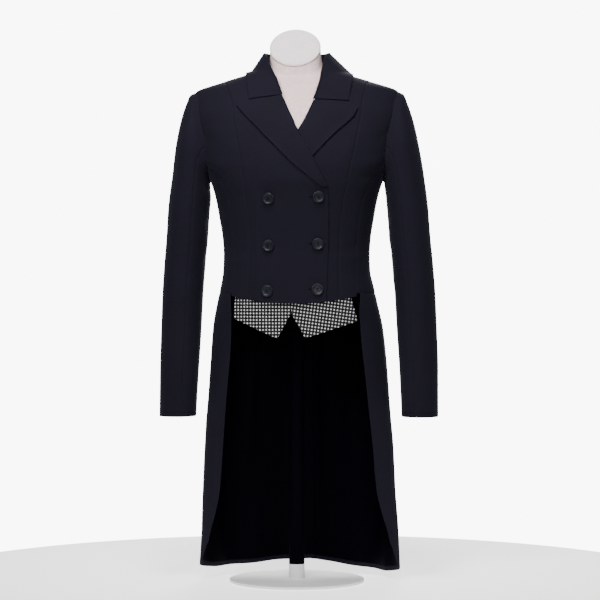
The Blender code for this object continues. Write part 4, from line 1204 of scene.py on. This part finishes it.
@dataclass
class Collar:
    """Turned-down collar: a stand round the neck, a tight roll, and the fall."""

    table = Table(
        "turn base_x base_y base_z stand upright edge_x edge_y edge_z",
        (0.0, 27, -78, 931.6, 2.6, 0, 89, -72, 920.8),
        (0.14, 36, -66, 952, 4.0, 0.1, 91, -62, 936),
        (0.28, 46, -44, 976, 9, 0.5, 94, -42, 955),
        (0.38, 54.5, -26, 991.8, 18, 0.9, 96, -22, 969),
        (0.52, 61.5, -2, 992, 26, 1, 97, 4, 976),
        (0.66, 56, 28, 992, 28, 1, 90, 38, 971),
        (0.83, 33, 51, 992, 28, 1, 52, 72, 958),
        (1.0, 0, 60, 992, 28, 1, 0, 84, 953),
    )
    spread_out = {Side.RIGHT: -4.0, Side.LEFT: 12.0}
    drop = {Side.RIGHT: (0.0, 0.0), Side.LEFT: (-9.0, -3.8)}
    roll: float = WALL / 2 + 0.6
    rest: float = WALL / 2 + LAPEL_GAP
    ease: float = 1.4
    # Shares up the stand, and degrees round the roll, at which its sections lie
    stand_shares = (0.0, 0.04, 0.1, 0.3, 0.5, 0.7, 0.85, 1.0)
    roll_turns = np.linspace(20, 165, 9)
    # Columns of half the collar and its length, and the rows of its fall
    columns: tuple = (52, 200.0)
    fall_rows: tuple = (16, 42.0, (0.12, 0.5, 1.0, 2.0))
    # Where on the V the collar is sewn: how far in, and how high at most
    v_inset: float = 2.4
    v_top: float = NECK_LINE - 6
    # Turns between which the drop at the gorge ends, the stand leaves the V, the spread ends
    # and the ease sets in
    drop_fade: tuple = (0.0, 0.3)
    stand_fade: tuple = (0.16, 0.46)
    spread_fade: tuple = (0.45, 0.95)
    ease_fade: tuple = (0.02, 0.2)

    def half(self, side: Side, turn: Array) -> Array:
        """Sections of half the collar, from the gorge seam to the middle of the back."""
        get = self.table.row(turn)
        near = 1 - ramp(turn, *self.drop_fade)
        base_z = get["base_z"] + self.drop[side][0] * near
        edge_z = get["edge_z"] + self.drop[side][1] * near
        level = np.minimum(base_z, self.v_top)
        inset = EDGES[side].at("x", level) - side.value * self.v_inset
        on_v, v_normals = FORM.on_front(inset, level, side, np.full(len(turn), -1.0))
        given = np.stack([side.value * get["base_x"], get["base_y"], base_z], -1)
        base = on_v + (given - on_v) * ramp(turn, *self.stand_fade)[:, None]
        out_by = self.spread_out[side] * (1 - ramp(turn, *self.spread_fade))
        edge = np.stack([side.value * (get["edge_x"] + out_by), get["edge_y"], edge_z], -1)
        upright = get["upright"][:, None]
        rise = unit(v_normals * (1 - upright) + np.array([0.0, 0.0, 1.0]) * upright)
        out = edge - base
        out = unit(out - (out * rise).sum(-1, keepdims=True) * rise)
        top = base + rise * get["stand"][:, None]
        rows = [base + (top - base) * share for share in self.stand_shares]
        rows += [top + out * self.roll * (1 - math.cos(a)) + rise * self.roll * math.sin(a)
                 for a in np.radians(self.roll_turns)]
        start = top + out * 2 * self.roll
        rest = self.rest + self.ease * ramp(turn, *self.ease_fade)[:, None]
        for share in spread(*self.fall_rows):
            rows.append(FORM.keep(start + (edge - start) * share, rest, True))
        return np.stack(rows, axis=0)

    def whole(self) -> Object:
        """The collar in one piece, from gorge seam to gorge seam."""
        turn = np.concatenate([spread(*self.columns)[:-6], [1.0]])
        right, left = self.half(Side.RIGHT, turn), self.half(Side.LEFT, turn)
        right[:, -1] = (right[:, -1] + left[:, -1]) / 2
        points = np.concatenate([right, left[:, -2::-1]], axis=1)
        normals = unit(np.cross(np.gradient(points, axis=1), np.gradient(points, axis=0)))
        return cloth_piece(Cloth(points, normals), "collar", -WALL / 2, WALL / 2, SUITING,
                           "folded", [f"{piece}_{side.word}_cloth" for piece in ("front", "back")
                                      for side in Side], sewn="top")


@dataclass
class Sleeves:
    """Two-piece sleeves: rings down the arm, drawn to the armhole seam at the top."""

    rings = Table(
        "step outer_x outer_z inner_x inner_z depth middle_y swing",
        (0, 196, 944, 165.5, 772, 116, 0, 0), (1, 206, 939, 167.5, 769.5, 124, 0, 0),
        (2, 214, 921, 168.5, 766, 132, 0, 0), (3, 224, 890, 169, 761, 138, 0, 0.5),
        (4, 234.5, 842, 169.2, 753, 142, 1, 1), (5, 243.5, 780, 169.5, 741, 141, 1, 2.5),
        (6, 251, 721, 172, 712, 137, 1, 2.5), (7, 255, 663, 176, 658, 131, 0, 3),
        (8, 259.5, 612, 181, 608, 125, -2, 3.5), (9, 263, 560, 185, 556, 119, -5, 4),
        (10, 265.5, 489, 188.5, 486, 111, -11, 4.5), (11, 267.4, 412, 193, 410, 103, -19, 5),
        (12, 267.4, 350, 196, 349, 97, -26, 5), (13, 267.4, 320.5, 197.2, 320.5, 95, -29, 5),
    )
    power: float = 2.2
    last: float = 13.0
    drawn: float = 3.2
    seam_level: float = 833.0
    stitch_up: float = 9.0
    # Seam allowance at the armhole: how far each row runs into the body, and its share down
    grown = np.array([5.0, 2.5, 0.8, 0.2])[:, None]
    sunk = np.array([1.0, 1.0, 0.85, 0.45])[:, None, None]
    sunk_by: float = WALL + 0.35
    # Rows down a sleeve and its length, columns of the top and the under half, the gap at the
    # armhole, and the stitches' steps and height
    rows: tuple = (120, 640.0)
    top_columns: int = 34
    under_columns: int = 32
    head_gap: float = 0.3
    cuff_steps: int = 161
    stitch_height: float = 0.12
    # Steps with which slopes are taken, down and round
    down_step: float = 0.05
    round_step: float = 0.02

    def ring_point(self, step: Array, turn: Array, side: Side) -> Array:
        """Superellipse ring between its outer and inner points, as deep as the table says."""
        angle = turn * math.pi / 2
        along = signed_power(np.cos(angle), 2 / self.power)
        across = signed_power(np.sin(angle), 2 / self.power)
        get = self.rings.row(step)
        x = ((get["outer_x"] + get["inner_x"]) / 2 + side.value * get["swing"]
             + (get["outer_x"] - get["inner_x"]) / 2 * along)
        z = ((get["outer_z"] + get["inner_z"]) / 2
             + (get["outer_z"] - get["inner_z"]) / 2 * along)
        return np.stack([side.value * x, get["middle_y"] - get["depth"] / 2 * across, z], axis=-1)

    def point(self, step: Array, turn: Array, side: Side) -> Array:
        """Ring point, moved to the armhole seam by a share that fades over the first rings."""
        step, turn = np.broadcast_arrays(np.asarray(step, float), np.asarray(turn, float))
        draw = (1 - ramp(step, 0, self.drawn))[..., None]
        zero = np.zeros_like(step)
        return self.ring_point(step, turn, side) + draw * (
            armhole_curve(turn, side) - self.ring_point(zero, turn, side))

    def normal(self, step: Array, turn: Array, side: Side) -> Array:
        """Outward unit normal: the cross product of small steps round and down."""
        down = (self.point(np.minimum(step + self.down_step, self.last), turn, side)
                - self.point(np.maximum(step - self.down_step, 0), turn, side))
        round_ = (self.point(step, turn + self.round_step, side)
                  - self.point(step, turn - self.round_step, side))
        return unit(side.value * np.cross(round_, down))

    def allowance(self, turns: Array, side: Side) -> tuple[Array, Array]:
        """Seam allowance of the sleeve head, which lies inside the body's panels."""
        seam = armhole_curve(turns, side)
        z = seam[:, 2] + self.grown * (seam[:, 2] - ARM_MIDDLE) / ARM_HALF
        y = seam[:, 1] * (1 + self.grown / FORM.arm_depth)
        angle = FORM.angle_at_y(z, np.where(np.abs(y) < TINY, -TINY, y))
        out = FORM.normal(z, angle, side)
        return FORM.point(z, angle, side) - out * (self.sunk * self.sunk_by), out

    def half(self, name: str, side: Side, first: float, last: float, count: int) -> Object:
        """Top or under sleeve, between its two seams."""
        steps = (self.last * spread(*self.rows))[:, None]
        turns = first + (last - first) * spread(count, count * 5)
        cloth = Cloth(self.point(steps, turns, side), self.normal(steps, turns, side)).trimmed(
            self.head_gap, 0, TUCK, TUCK)
        under, out = self.allowance(turns, side)
        cloth = Cloth(np.concatenate([under, cloth.points]),
                      np.concatenate([out, cloth.normals]))
        return cloth_piece(cloth, f"{name}_{side.word}", -WALL, 0.0, SUITING, "hung",
                           [f"side_front_{side.word}_cloth", f"back_{side.word}_cloth"],
                           sewn="start end")

    def pair(self, side: Side) -> None:
        """Both halves of a sleeve, and the row of stitches that holds the cuff's hem."""
        turn = BodicePanels().corner_turn(self.seam_level, False)
        self.half("sleeve_top", side, -turn, turn, self.top_columns)
        self.half("sleeve_under", side, turn, 4 - turn, self.under_columns)
        turns = np.linspace(0, 4, self.cuff_steps)
        level, steps = -self.rings.columns["outer_z"], self.rings.keys
        step = np.full_like(turns, np.interp(level[-1] - self.stitch_up, level, steps))
        path, out = self.point(step, turns, side), self.normal(step, turns, side)
        path = path + out * (CREASES.offset(path)[:, None] + self.stitch_height)
        row = stitches(f"cuff_stitches_{side.word}", path, out, THREAD.made())


@dataclass
class Tails:
    """Long tails under the waist seam, each with a lining, open in front and at the vent."""

    edge = Table(
        "z share",
        (556, 0.82), (506, 0.755), (457, 0.742), (398, 0.757), (333, 0.775), (269, 0.79),
        (178, 0.815), (134, 0.855), (101, 0.90), (66, 0.935), (HEM, 0.955),
    )
    # Soft folds that open towards the hem: degrees round from the front, width and depth
    folds = np.array([(96, 9, 4), (116, 9, -5), (134, 8, 4), (151, 9, -6), (167, 8, 3)], float)
    hem_line = Table(
        "share right_z left_z",
        (0, 78, 78), (0.05, 56, 54), (0.11, 40, 37), (0.19, 29, 25), (0.30, 23, 18),
        (0.45, 20, 14), (0.62, 21, 16), (0.80, 26, 22), (1.0, 29, 29),
    )
    fold_top: float = 470.0
    fold_power: float = 1.6
    vent_overlap: float = 3.0
    vent_underlap: float = 22.0
    vent_lift: float = WALL + LINING_WALL + 6 * LAYER_GAP
    lining_edge: float = 9.0
    lining_vent_edge: float = -0.4
    # Rows and columns, each with the length that they run along; the rows run a little closer
    # towards the hem
    rows: tuple = (110, 530.0)
    columns: tuple = (96, 330.0)
    row_power: float = 0.93
    vent_fade: tuple = (30.0, 48.0)

    def surface(self, side: Side) -> tuple[Cloth, Array]:
        """The tail from its front edge to the middle back, and how far it is lifted."""
        share = spread(*self.columns)
        rows = spread(*self.rows)[:, None] ** self.row_power
        z = WAIST_SEAM + (self.hem_line.at(f"{side.word}_z", share) - WAIST_SEAM) * rows
        level = np.maximum(z, HEM)
        power, half = BODY.at("power", level), BODY.at("half_width", level)
        start = np.arcsin(self.edge.at("share", level) ** (power / 2))
        middle = -self.vent_underlap if side is Side.RIGHT else self.vent_overlap
        reach = np.arcsin((abs(middle) / half) ** (power / 2))
        angle = start + (math.pi - math.copysign(1, middle) * reach - start) * share
        points, normals = FORM.point(level, angle, side), FORM.normal(level, angle, side)
        points[..., 2] = z
        opening = np.clip((self.fold_top - level) / (self.fold_top - HEM), 0, 1)
        place = np.degrees(angle)[..., None]
        waves = self.folds[:, 2] * np.exp(-((place - self.folds[:, 0]) / self.folds[:, 1]) ** 2)
        lift = opening ** self.fold_power * waves.sum(-1)
        if side is Side.LEFT:
            lift = lift + (self.vent_lift * (1 - ramp(points[..., 0], *self.vent_fade))
                           * (angle > math.pi / 2))
        return Cloth(points, normals), lift

    def one(self, side: Side) -> None:
        """A tail and its lining, which stops short of the front edge and the hem."""
        cloth, lift = self.surface(side)
        cloth_piece(cloth.trimmed(TUCK, SHORT, SHORT, SHORT), f"tail_{side.word}", lift - WALL,
                    lift, SUITING, "hung",
                    [f"side_body_{side.word}_cloth", f"back_{side.word}_cloth"], sewn="top")
        inner = cloth.trimmed(SHORT, self.lining_edge, self.lining_edge, self.lining_vent_edge)
        low = lift - WALL - LINING_GAP
        cloth_piece(inner, f"tail_lining_{side.word}", low - LINING_WALL, low, LINING_WITH_PAINTED_SHADE, "hung",
                    [f"tail_{side.word}_cloth"])


@dataclass
class VestPoints:
    """Checked vest points that hang from inside the front hem."""

    # Outer end, tip and the notch in the middle, in front view
    places = {
        Side.RIGHT: ((-118.5, 508), (-31, 470), (-5.5, 518)),
        Side.LEFT: ((122.5, 503), (22, 471), (-4.5, 518)),
    }
    # How far the outer end leans in at its top, and the height over which it does
    slant = {Side.RIGHT: 3.0, Side.LEFT: 12.0}
    slant_height: float = 40.0
    tuck: float = 12.0
    rounding: float = 0.7
    # Rows and columns, each with the length that they run along
    rows: tuple = (22, 50.0)
    columns: tuple = (44, 110.0)

    def one(self, side: Side) -> Object:
        """One vest point, with a turned edge and the check laid by front view."""
        (outer_x, outer_z), (tip_x, tip_z), (inner_x, inner_z) = self.places[side]
        tip = (tip_x - outer_x) / (inner_x - outer_x)
        share = np.sort(np.append(spread(*self.columns), tip))
        x = outer_x + (inner_x - outer_x) * share
        low = np.interp(share, [0, tip, 1], [outer_z, tip_z, inner_z])
        top = front_hem(x) + self.tuck
        z = top + (low - top) * spread(*self.rows)[:, None]
        lean = self.slant[side] * np.clip((z - low) / self.slant_height, 0, 1) * (1 - share) ** 2
        x = x - side.value * lean
        level = np.maximum(z, FRONT_HEM_MIDDLE)
        angle = FORM.angle_at_x(level, x, side)
        points, normals = FORM.point(level, angle, side), FORM.normal(level, angle, side)
        points[..., 2] = z
        normals[..., 2] = 0
        outer = -FRONT_WALL - 2 * LAYER_GAP
        return cloth_piece(Cloth(points, unit(normals)), f"vest_point_{side.word}", outer - WALL,
                           outer, CHECK if side is Side.RIGHT else CHECK_TURNED, "hung",
                           [f"front_{side.word}_cloth"], creased=False,
                           uv=np.stack([x, z], -1), rounding=self.rounding)


@dataclass
class Buttons:
    """Two columns of three flat four-hole buttons, and the buttonholes of the lap's column."""

    # Places in front view, and how far the back of each stands off the front
    places = ((-46, 734, 0.9), (46.5, 737, 0.9), (-47, 646, 0.9), (44.5, 649, 0.9),
              (-49, 560, 0.6), (44, 563, 0.6))
    top = Table(
        "radius height",
        (0, 2.45), (5.0, 2.5), (6.6, 2.62), (7.6, 2.95), (8.5, 3.5), (9.3, 3.8), (10.1, 3.75),
        (10.7, 3.35), (11.0, 2.7),
    )
    radius: float = 11.0
    # The back's outline, from its widest part in to the middle: radius and height
    under = np.array([(11.0, 0.9), (10.85, 0.35), (10.2, 0.0), (0.0, 0.0)])
    sides: int = 72
    face_rings: int = 46
    hole_place: float = 1.55
    hole_size: tuple = (0.5, 0.95)
    hole_depth: float = 1.3
    bar_height: float = 2.2
    bar_arch: float = 0.75
    bar_radius: float = 0.42
    # A buttonhole's ends, left and right of the button's middle, its half width and its lip
    hole_inner: float = 16.0
    hole_outer: float = 8.0
    hole_half: float = 1.0
    lip: float = 0.55
    lip_sunk: float = 0.1
    lip_steps: int = 97
    thread_sides: int = 8
    bar_steps: int = 9

    def frame_at(self, x: float, z: float, gap: float) -> tuple[Array, Array]:
        """Middle of a button's back, and its three axes: across, up and out."""
        lift = FORM.lift(np.array(x), np.array(z), Side.RIGHT)
        centre, out = FORM.on_front(np.array(x), np.array(z), Side.RIGHT, lift + gap)
        across = unit(np.cross([0.0, 0.0, 1.0], out))
        return centre, np.stack([across, np.cross(out, across), out])

    def one(self, number: int, x: float, z: float, gap: float) -> Object:
        """A button with a raised rim, a dished middle and four holes, sewn with thread."""
        centre, axes = self.frame_at(x, z, gap)
        radii = np.concatenate([[0.0], np.linspace(0.25, self.radius - 0.2, self.face_rings),
                                [self.radius]])
        turn = np.linspace(0, 2 * math.pi, self.sides, endpoint=False)
        across = radii[:, None] * np.cos(turn)
        up = radii[:, None] * np.sin(turn)
        away = np.hypot(np.abs(across) - self.hole_place, np.abs(up) - self.hole_place)
        height = self.top.at("height", radii)[:, None] - self.hole_depth * (
            1 - ramp(away, *self.hole_size))
        face = (centre + across[..., None] * axes[0] + up[..., None] * axes[1]
                + height[..., None] * axes[2])
        low = circle(self.under[:, 0], self.under[:, 1], self.sides, centre, axes)
        piece = lathe(f"button_{number}_moulded", np.concatenate([face, low]), MOULDED.made())
        stands_for(piece, f"button_{number}")
        arch = np.linspace(0, math.pi, self.bar_steps)
        for row, level in enumerate((-self.hole_place, self.hole_place)):
            path = (centre - np.cos(arch)[:, None] * self.hole_place * axes[0] + level * axes[1]
                    + (self.bar_height + self.bar_arch * np.sin(arch))[:, None] * axes[2])
            normals = np.broadcast_to(axes[2], path.shape)
            rings = swept(path, normals, np.full(len(arch), self.bar_radius),
                          self.thread_sides)
            bar = lathe(f"button_{number}_thread_{row + 1}", closed_ends(rings), THREAD.made())
        return piece

    def buttonhole(self, number: int, x: float, z: float) -> Object:
        """Stitched lips of a buttonhole: a low rib round a long slot."""
        turn = np.linspace(0, 2 * math.pi, self.lip_steps)
        along = (self.hole_outer - self.hole_inner) / 2 + (
            (self.hole_outer + self.hole_inner) / 2 * np.cos(turn))
        up = self.hole_half * signed_power(np.sin(turn), 0.5)
        lift = FORM.lift(x + along, z + up, Side.RIGHT)
        path, normals = FORM.on_front(x + along, z + up, Side.RIGHT, lift)
        path = path + normals * (CREASES.offset(path)[:, None] - self.lip_sunk)
        ring = swept(path, normals, np.full(len(turn), self.lip), self.thread_sides)
        piece = lathe(f"buttonhole_{number}", ring, THREAD.made())
        return piece

    def every(self) -> None:
        """All six buttons and the three buttonholes."""
        for number, place in enumerate(self.places, 1):
            self.one(number, *place)
        for number, (x, z, _) in enumerate(self.places[1::2], 1):
            self.buttonhole(number, x, z)


# The dress form and its stand


@dataclass
class DressForm:
    """Linen covered bust and neck, with a tilted linen cap on the neck."""

    neck = Table(
        "step x y z half_width front back slope power",
        (0, -2.5, -8, 1028, 48.8, 29.8, 29.8, 1.29, 2.0),
        (1, -2.0, -4, 1006, 49.5, 36, 37, 0.86, 2.0),
        (2, -1.0, 0, 985, 54, 42, 42, 0.34, 2.0), (3, 0, 0, 972, 98, 46, 50, 0.12, 2.0),
        (4, 0, 0, 957, 152, 51, 60, 0.06, 2.0), (5, 0, 0, 940, 178, 60, 72, 0.03, 2.1),
        (6, 0, 0, 922, 183, 72, 84, 0.0, 2.2), (7, 0, 0, 902, 181, 86, 93, 0.0, 2.2),
        (8, 0, 0, 880, 178, 100, 99, 0.0, 2.2),
    )
    bottom: float = 566.0
    # Steps of the neck's rings, and the height at which the rings of the bust set in
    steps = np.concatenate([[0, 0.012, 0.03], np.linspace(0.06, 8, 110)])
    bust_top: float = 872.0
    bust_rings: int = 60
    cap_tilt: float = 52.0
    cap_profile = np.array([(1.0, 0.3), (1.006, 0.8), (1.008, 1.6), (1.0, 2.4), (0.985, 3.3),
                            (0.955, 4.2), (0.9, 5.0), (0.8, 5.7), (0.62, 6.2), (0.4, 6.4),
                            (0.2, 6.45), (0.0, 6.45)])
    sides: int = 256
    # Rounds in which the shoulders' rings soften, and which rings do
    neck_softening: int = 70
    softened = slice(4, 89)
    seam_half: float = 1.5
    seam_depth: float = 0.5
    # Gap under the coat below and above the shoulders, and the heights between which it turns
    low_gap: float = WALL + 2.2
    high_gap: float = WALL + 0.6
    gap_levels: tuple = (925.0, 945.0)
    sharp: float = 60.0

    def ring(self, at: dict[str, Array]) -> Array:
        """Superellipse rings, from the middle back round, with a rise from front to back."""
        turn = math.pi + np.linspace(0, 2 * math.pi, self.sides, endpoint=False)
        get = {name: np.asarray(value, float)[:, None] for name, value in at.items()}
        root = 2 / get["power"]
        across = signed_power(np.sin(turn), root)
        along = -signed_power(np.cos(turn), root)
        depth = np.where(along < 0, get["front"], get["back"])
        return np.stack([get["x"] + get["half_width"] * across, get["y"] + depth * along,
                         get["z"] + get["slope"] * depth * along], -1)

    def both(self) -> None:
        """The bust, and the cap that closes its neck."""
        high = self.ring(self.neck.row(self.steps))
        z = np.linspace(self.bust_top, self.bottom, self.bust_rings)
        none = np.zeros_like(z)
        low = self.ring({**BODY.row(z), "x": BODY.at("lean", z), "y": none, "z": z,
                         "slope": none})
        rings = np.concatenate([high, low])
        for _ in range(self.neck_softening):
            first, last = self.softened.start - 1, self.softened.stop + 1
            part = rings[first:last]
            rings[self.softened] = (part[:-2] + 2 * part[1:-1] + part[2:]) / 4
        gap = self.low_gap + (self.high_gap - self.low_gap) * ramp(rings[..., 2:],
                                                                   *self.gap_levels)
        rings = FORM.keep(rings, gap, False)
        rings[-1, :, 2] = self.bottom
        seam = np.exp(-((rings[..., 0] - rings[:, :1, 0]) / self.seam_half) ** 2)
        inward = np.sign(rings.mean(axis=1)[:, None, 1] - rings[..., 1])
        rings[..., 1] += self.seam_depth * seam * inward
        rings[0] += (rings[1] - rings[0]) * 0.5
        bust = lathe("form_torso_linen", closed_ends(rings), LINEN.made(), self.sharp)
        stands_for(bust, "form_torso")
        top = high[0]
        middle = top.mean(axis=0)
        tilt = math.radians(self.cap_tilt)
        way = np.array([0.0, -math.sin(tilt), math.cos(tilt)])
        size, height = self.cap_profile[:, :1, None], self.cap_profile[:, 1:, None]
        capped = middle + (top - middle) * size + way * height
        first = np.repeat(middle[None, None] + way * self.cap_profile[0, 1], self.sides, axis=1)
        flat = np.concatenate([first, capped])
        cap = lathe("neck_cap_linen", flat, CAP_LINEN.made(), self.sharp,
                    uv=np.concatenate([flat, flat[:, :1]], axis=1)[..., [0, 2]])
        stands_for(cap, "neck_cap")


@dataclass
class Stand:
    """Round base plate and the pole welded on its middle, up to just below the form."""

    base_radius: float = 130.0
    thickness: float = 6.0
    pole_radius: float = 15.0
    socket_top: float = 34.0
    pole_top: float = 565.7
    base_sides: int = 160
    pole_sides: int = 64
    # Rounding of the rims, the weld at the socket's foot, and the gap between the two coats
    rim: float = 0.8
    weld: float = 0.6
    joint: float = 0.05

    def both(self) -> None:
        """The base plate with its socket, and the pole."""
        base, pole = self.base_radius, self.pole_radius
        plate = [(base - self.rim, 0.0), (base, self.rim), (base, 4.5), (base - 0.4, 5.4),
                 (base - 1.5, self.thickness), (pole + self.weld, self.thickness),
                 (pole, self.thickness + self.weld), (pole, self.socket_top)]
        tube = [(pole, self.socket_top + self.joint), (pole, self.pole_top - self.rim),
                (pole - self.rim, self.pole_top)]
        for name, profile, sides, finish in (("stand_base", plate, self.base_sides, BASE_COAT),
                                             ("stand_pole", tube, self.pole_sides, POLE_COAT_WITH_PAINTED_SHADE)):
            radius, height = np.array(profile).T
            rings = circle(radius, height, sides, np.zeros(3), np.eye(3))
            made = lathe(name, closed_ends(rings), finish.made())
            stands_for(made, "stand")


# Creases in space, the studio and the whole


def lay_creases() -> None:
    """Turn the tables of creases into lines in space."""
    for x0, z0, x1, z1, face, width, depth in BODICE_CREASES:
        ends = []
        for x, z in ((x0, z0), (x1, z1)):
            side = Side.LEFT if x > 0 else Side.RIGHT
            angle = FORM.angle_at_x(np.array(z), np.array(x), side)
            ends.append(FORM.point(z, angle if face < 0 else math.pi - angle, side))
        CREASES.add(ends[0][None], ends[1][None], np.array([width]), np.array([depth]))
    for side in Side:
        for table, point in (
                (SLEEVE_CREASES, Sleeves().point),
                (TAIL_CREASES, lambda z, place, at: FORM.point(z, np.radians(place), at))):
            rows = table[side]
            CREASES.add(point(rows[:, 0], rows[:, 1], side),
                        point(rows[:, 2], rows[:, 3], side), rows[:, 4], rows[:, 5])


@dataclass
class Studio:
    """Pale floor, bright backdrop, soft area lights and the camera at the photograph's view."""

    azimuth: float = 3.0
    distance: float = 4.0
    target = np.array([0.0014, 0.0, 0.543])
    frame_width: float = 1.158
    # Place, size, strength in watts and spread in degrees of each lamp
    lamps = {
        "key": ((-1.1, -2.8, 2.5), 0.7, 4.7, 34.0),
        "fill": ((1.2, -3.1, 1.4), 1.2, 2.5, 32.0),
        "top": ((0.0, -1.3, 3.0), 0.7, 4.6, 40.0),
        "back": ((0.3, 3.0, 2.7), 1.4, 9.0, 45.0),
    }
    aim = np.array([0.0, 0.0, 0.88])
    floor_radius: float = 0.8
    floor_level: float = -0.0004
    floor_sides: int = 128
    # Strength of the world round about and behind the coat, and the cosines of the angles
    # from straight behind between which the one turns into the other
    sky_light: float = 0.2
    glow: float = 9.0
    glow_edge: tuple = (0.93, 0.97)
    sensor: float = 36.0
    clip_end: float = 50.0

    def floor(self) -> None:
        """Round pale floor under the stand."""
        rim = circle([self.floor_radius], [self.floor_level], self.floor_sides, np.zeros(3),
                     np.eye(3))[0]
        mesh = bpy.data.meshes.new("pale_floor")
        mesh.from_pydata(rim.tolist(), [], [list(range(self.floor_sides))])
        mesh.materials.append(ACRYLIC.made())
        linked("pale_floor", mesh)

    def light(self) -> None:
        """Area lamps aimed at the coat's middle, and a white world that glows behind it."""
        for name, (place, size, watts, width) in self.lamps.items():
            lamp = bpy.data.lights.new(name, "AREA")
            lamp.shape, lamp.size, lamp.energy = "SQUARE", size, watts
            lamp.spread = math.radians(width)
            made = linked(name, lamp)
            made.location = place
            way = mathutils.Vector(self.aim - np.array(place))
            made.rotation_euler = way.to_track_quat("-Z", "Y").to_euler()
        world = bpy.context.scene.world or bpy.data.worlds.new("studio")
        bpy.context.scene.world = world
        world.use_nodes = True
        sky = next(n for n in world.node_tree.nodes if n.type == "BACKGROUND")
        tree = world.node_tree
        turn = math.radians(self.azimuth)
        way = add(tree, "ShaderNodeTexCoord").outputs["Generated"]
        behind = add(tree, "ShaderNodeVectorMath",
                     {0: way, 1: (-math.sin(turn), math.cos(turn), 0.0)},
                     operation="DOT_PRODUCT")
        glow = add(tree, "ShaderNodeMapRange",
                   {"Value": behind.outputs["Value"], "From Min": self.glow_edge[0],
                    "From Max": self.glow_edge[1], "To Min": self.sky_light,
                    "To Max": self.glow}, interpolation_type="SMOOTHSTEP")
        tree.links.new(glow.outputs["Result"], sky.inputs["Strength"])
        sky.inputs["Color"].default_value = WHITE

    def camera(self) -> None:
        """Level camera on the wearer's left of the front, far off with a long lens."""
        lens = bpy.data.cameras.new("camera")
        lens.sensor_width = self.sensor
        lens.lens = self.sensor * self.distance / self.frame_width
        lens.clip_end = self.clip_end
        made = linked("camera", lens)
        turn = math.radians(self.azimuth)
        made.location = self.target + self.distance * np.array(
            [math.sin(turn), -math.cos(turn), 0.0])
        made.rotation_euler = (math.pi / 2, 0.0, turn)
        bpy.context.scene.camera = made

    def built(self) -> None:
        """Everything of the studio."""
        self.floor()
        self.light()
        self.camera()


def main() -> None:
    """Build the coat, the dress form, its stand and the studio, and report each step."""
    logging.basicConfig(level=logging.INFO, format="%(message)s")
    lay_creases()
    panels, lapels, sleeves, tails, vest = (BodicePanels(), Lapels(), Sleeves(), Tails(),
                                            VestPoints())
    for side in Side:
        for made in (panels.front(side), panels.side_front(side), panels.side_body(side),
                     panels.back(side), lapels.one(side), vest.one(side)):
            log.info("%s", made.name)
        sleeves.pair(side)
        tails.one(side)
        log.info("sleeve and tail, %s", side.word)
    Collar().whole()
    Buttons().every()
    log.info("collar, buttons and buttonholes")
    DressForm().both()
    Stand().both()
    log.info("dress form and stand")
    Studio().built()


if __name__ == "__main__":
    main()
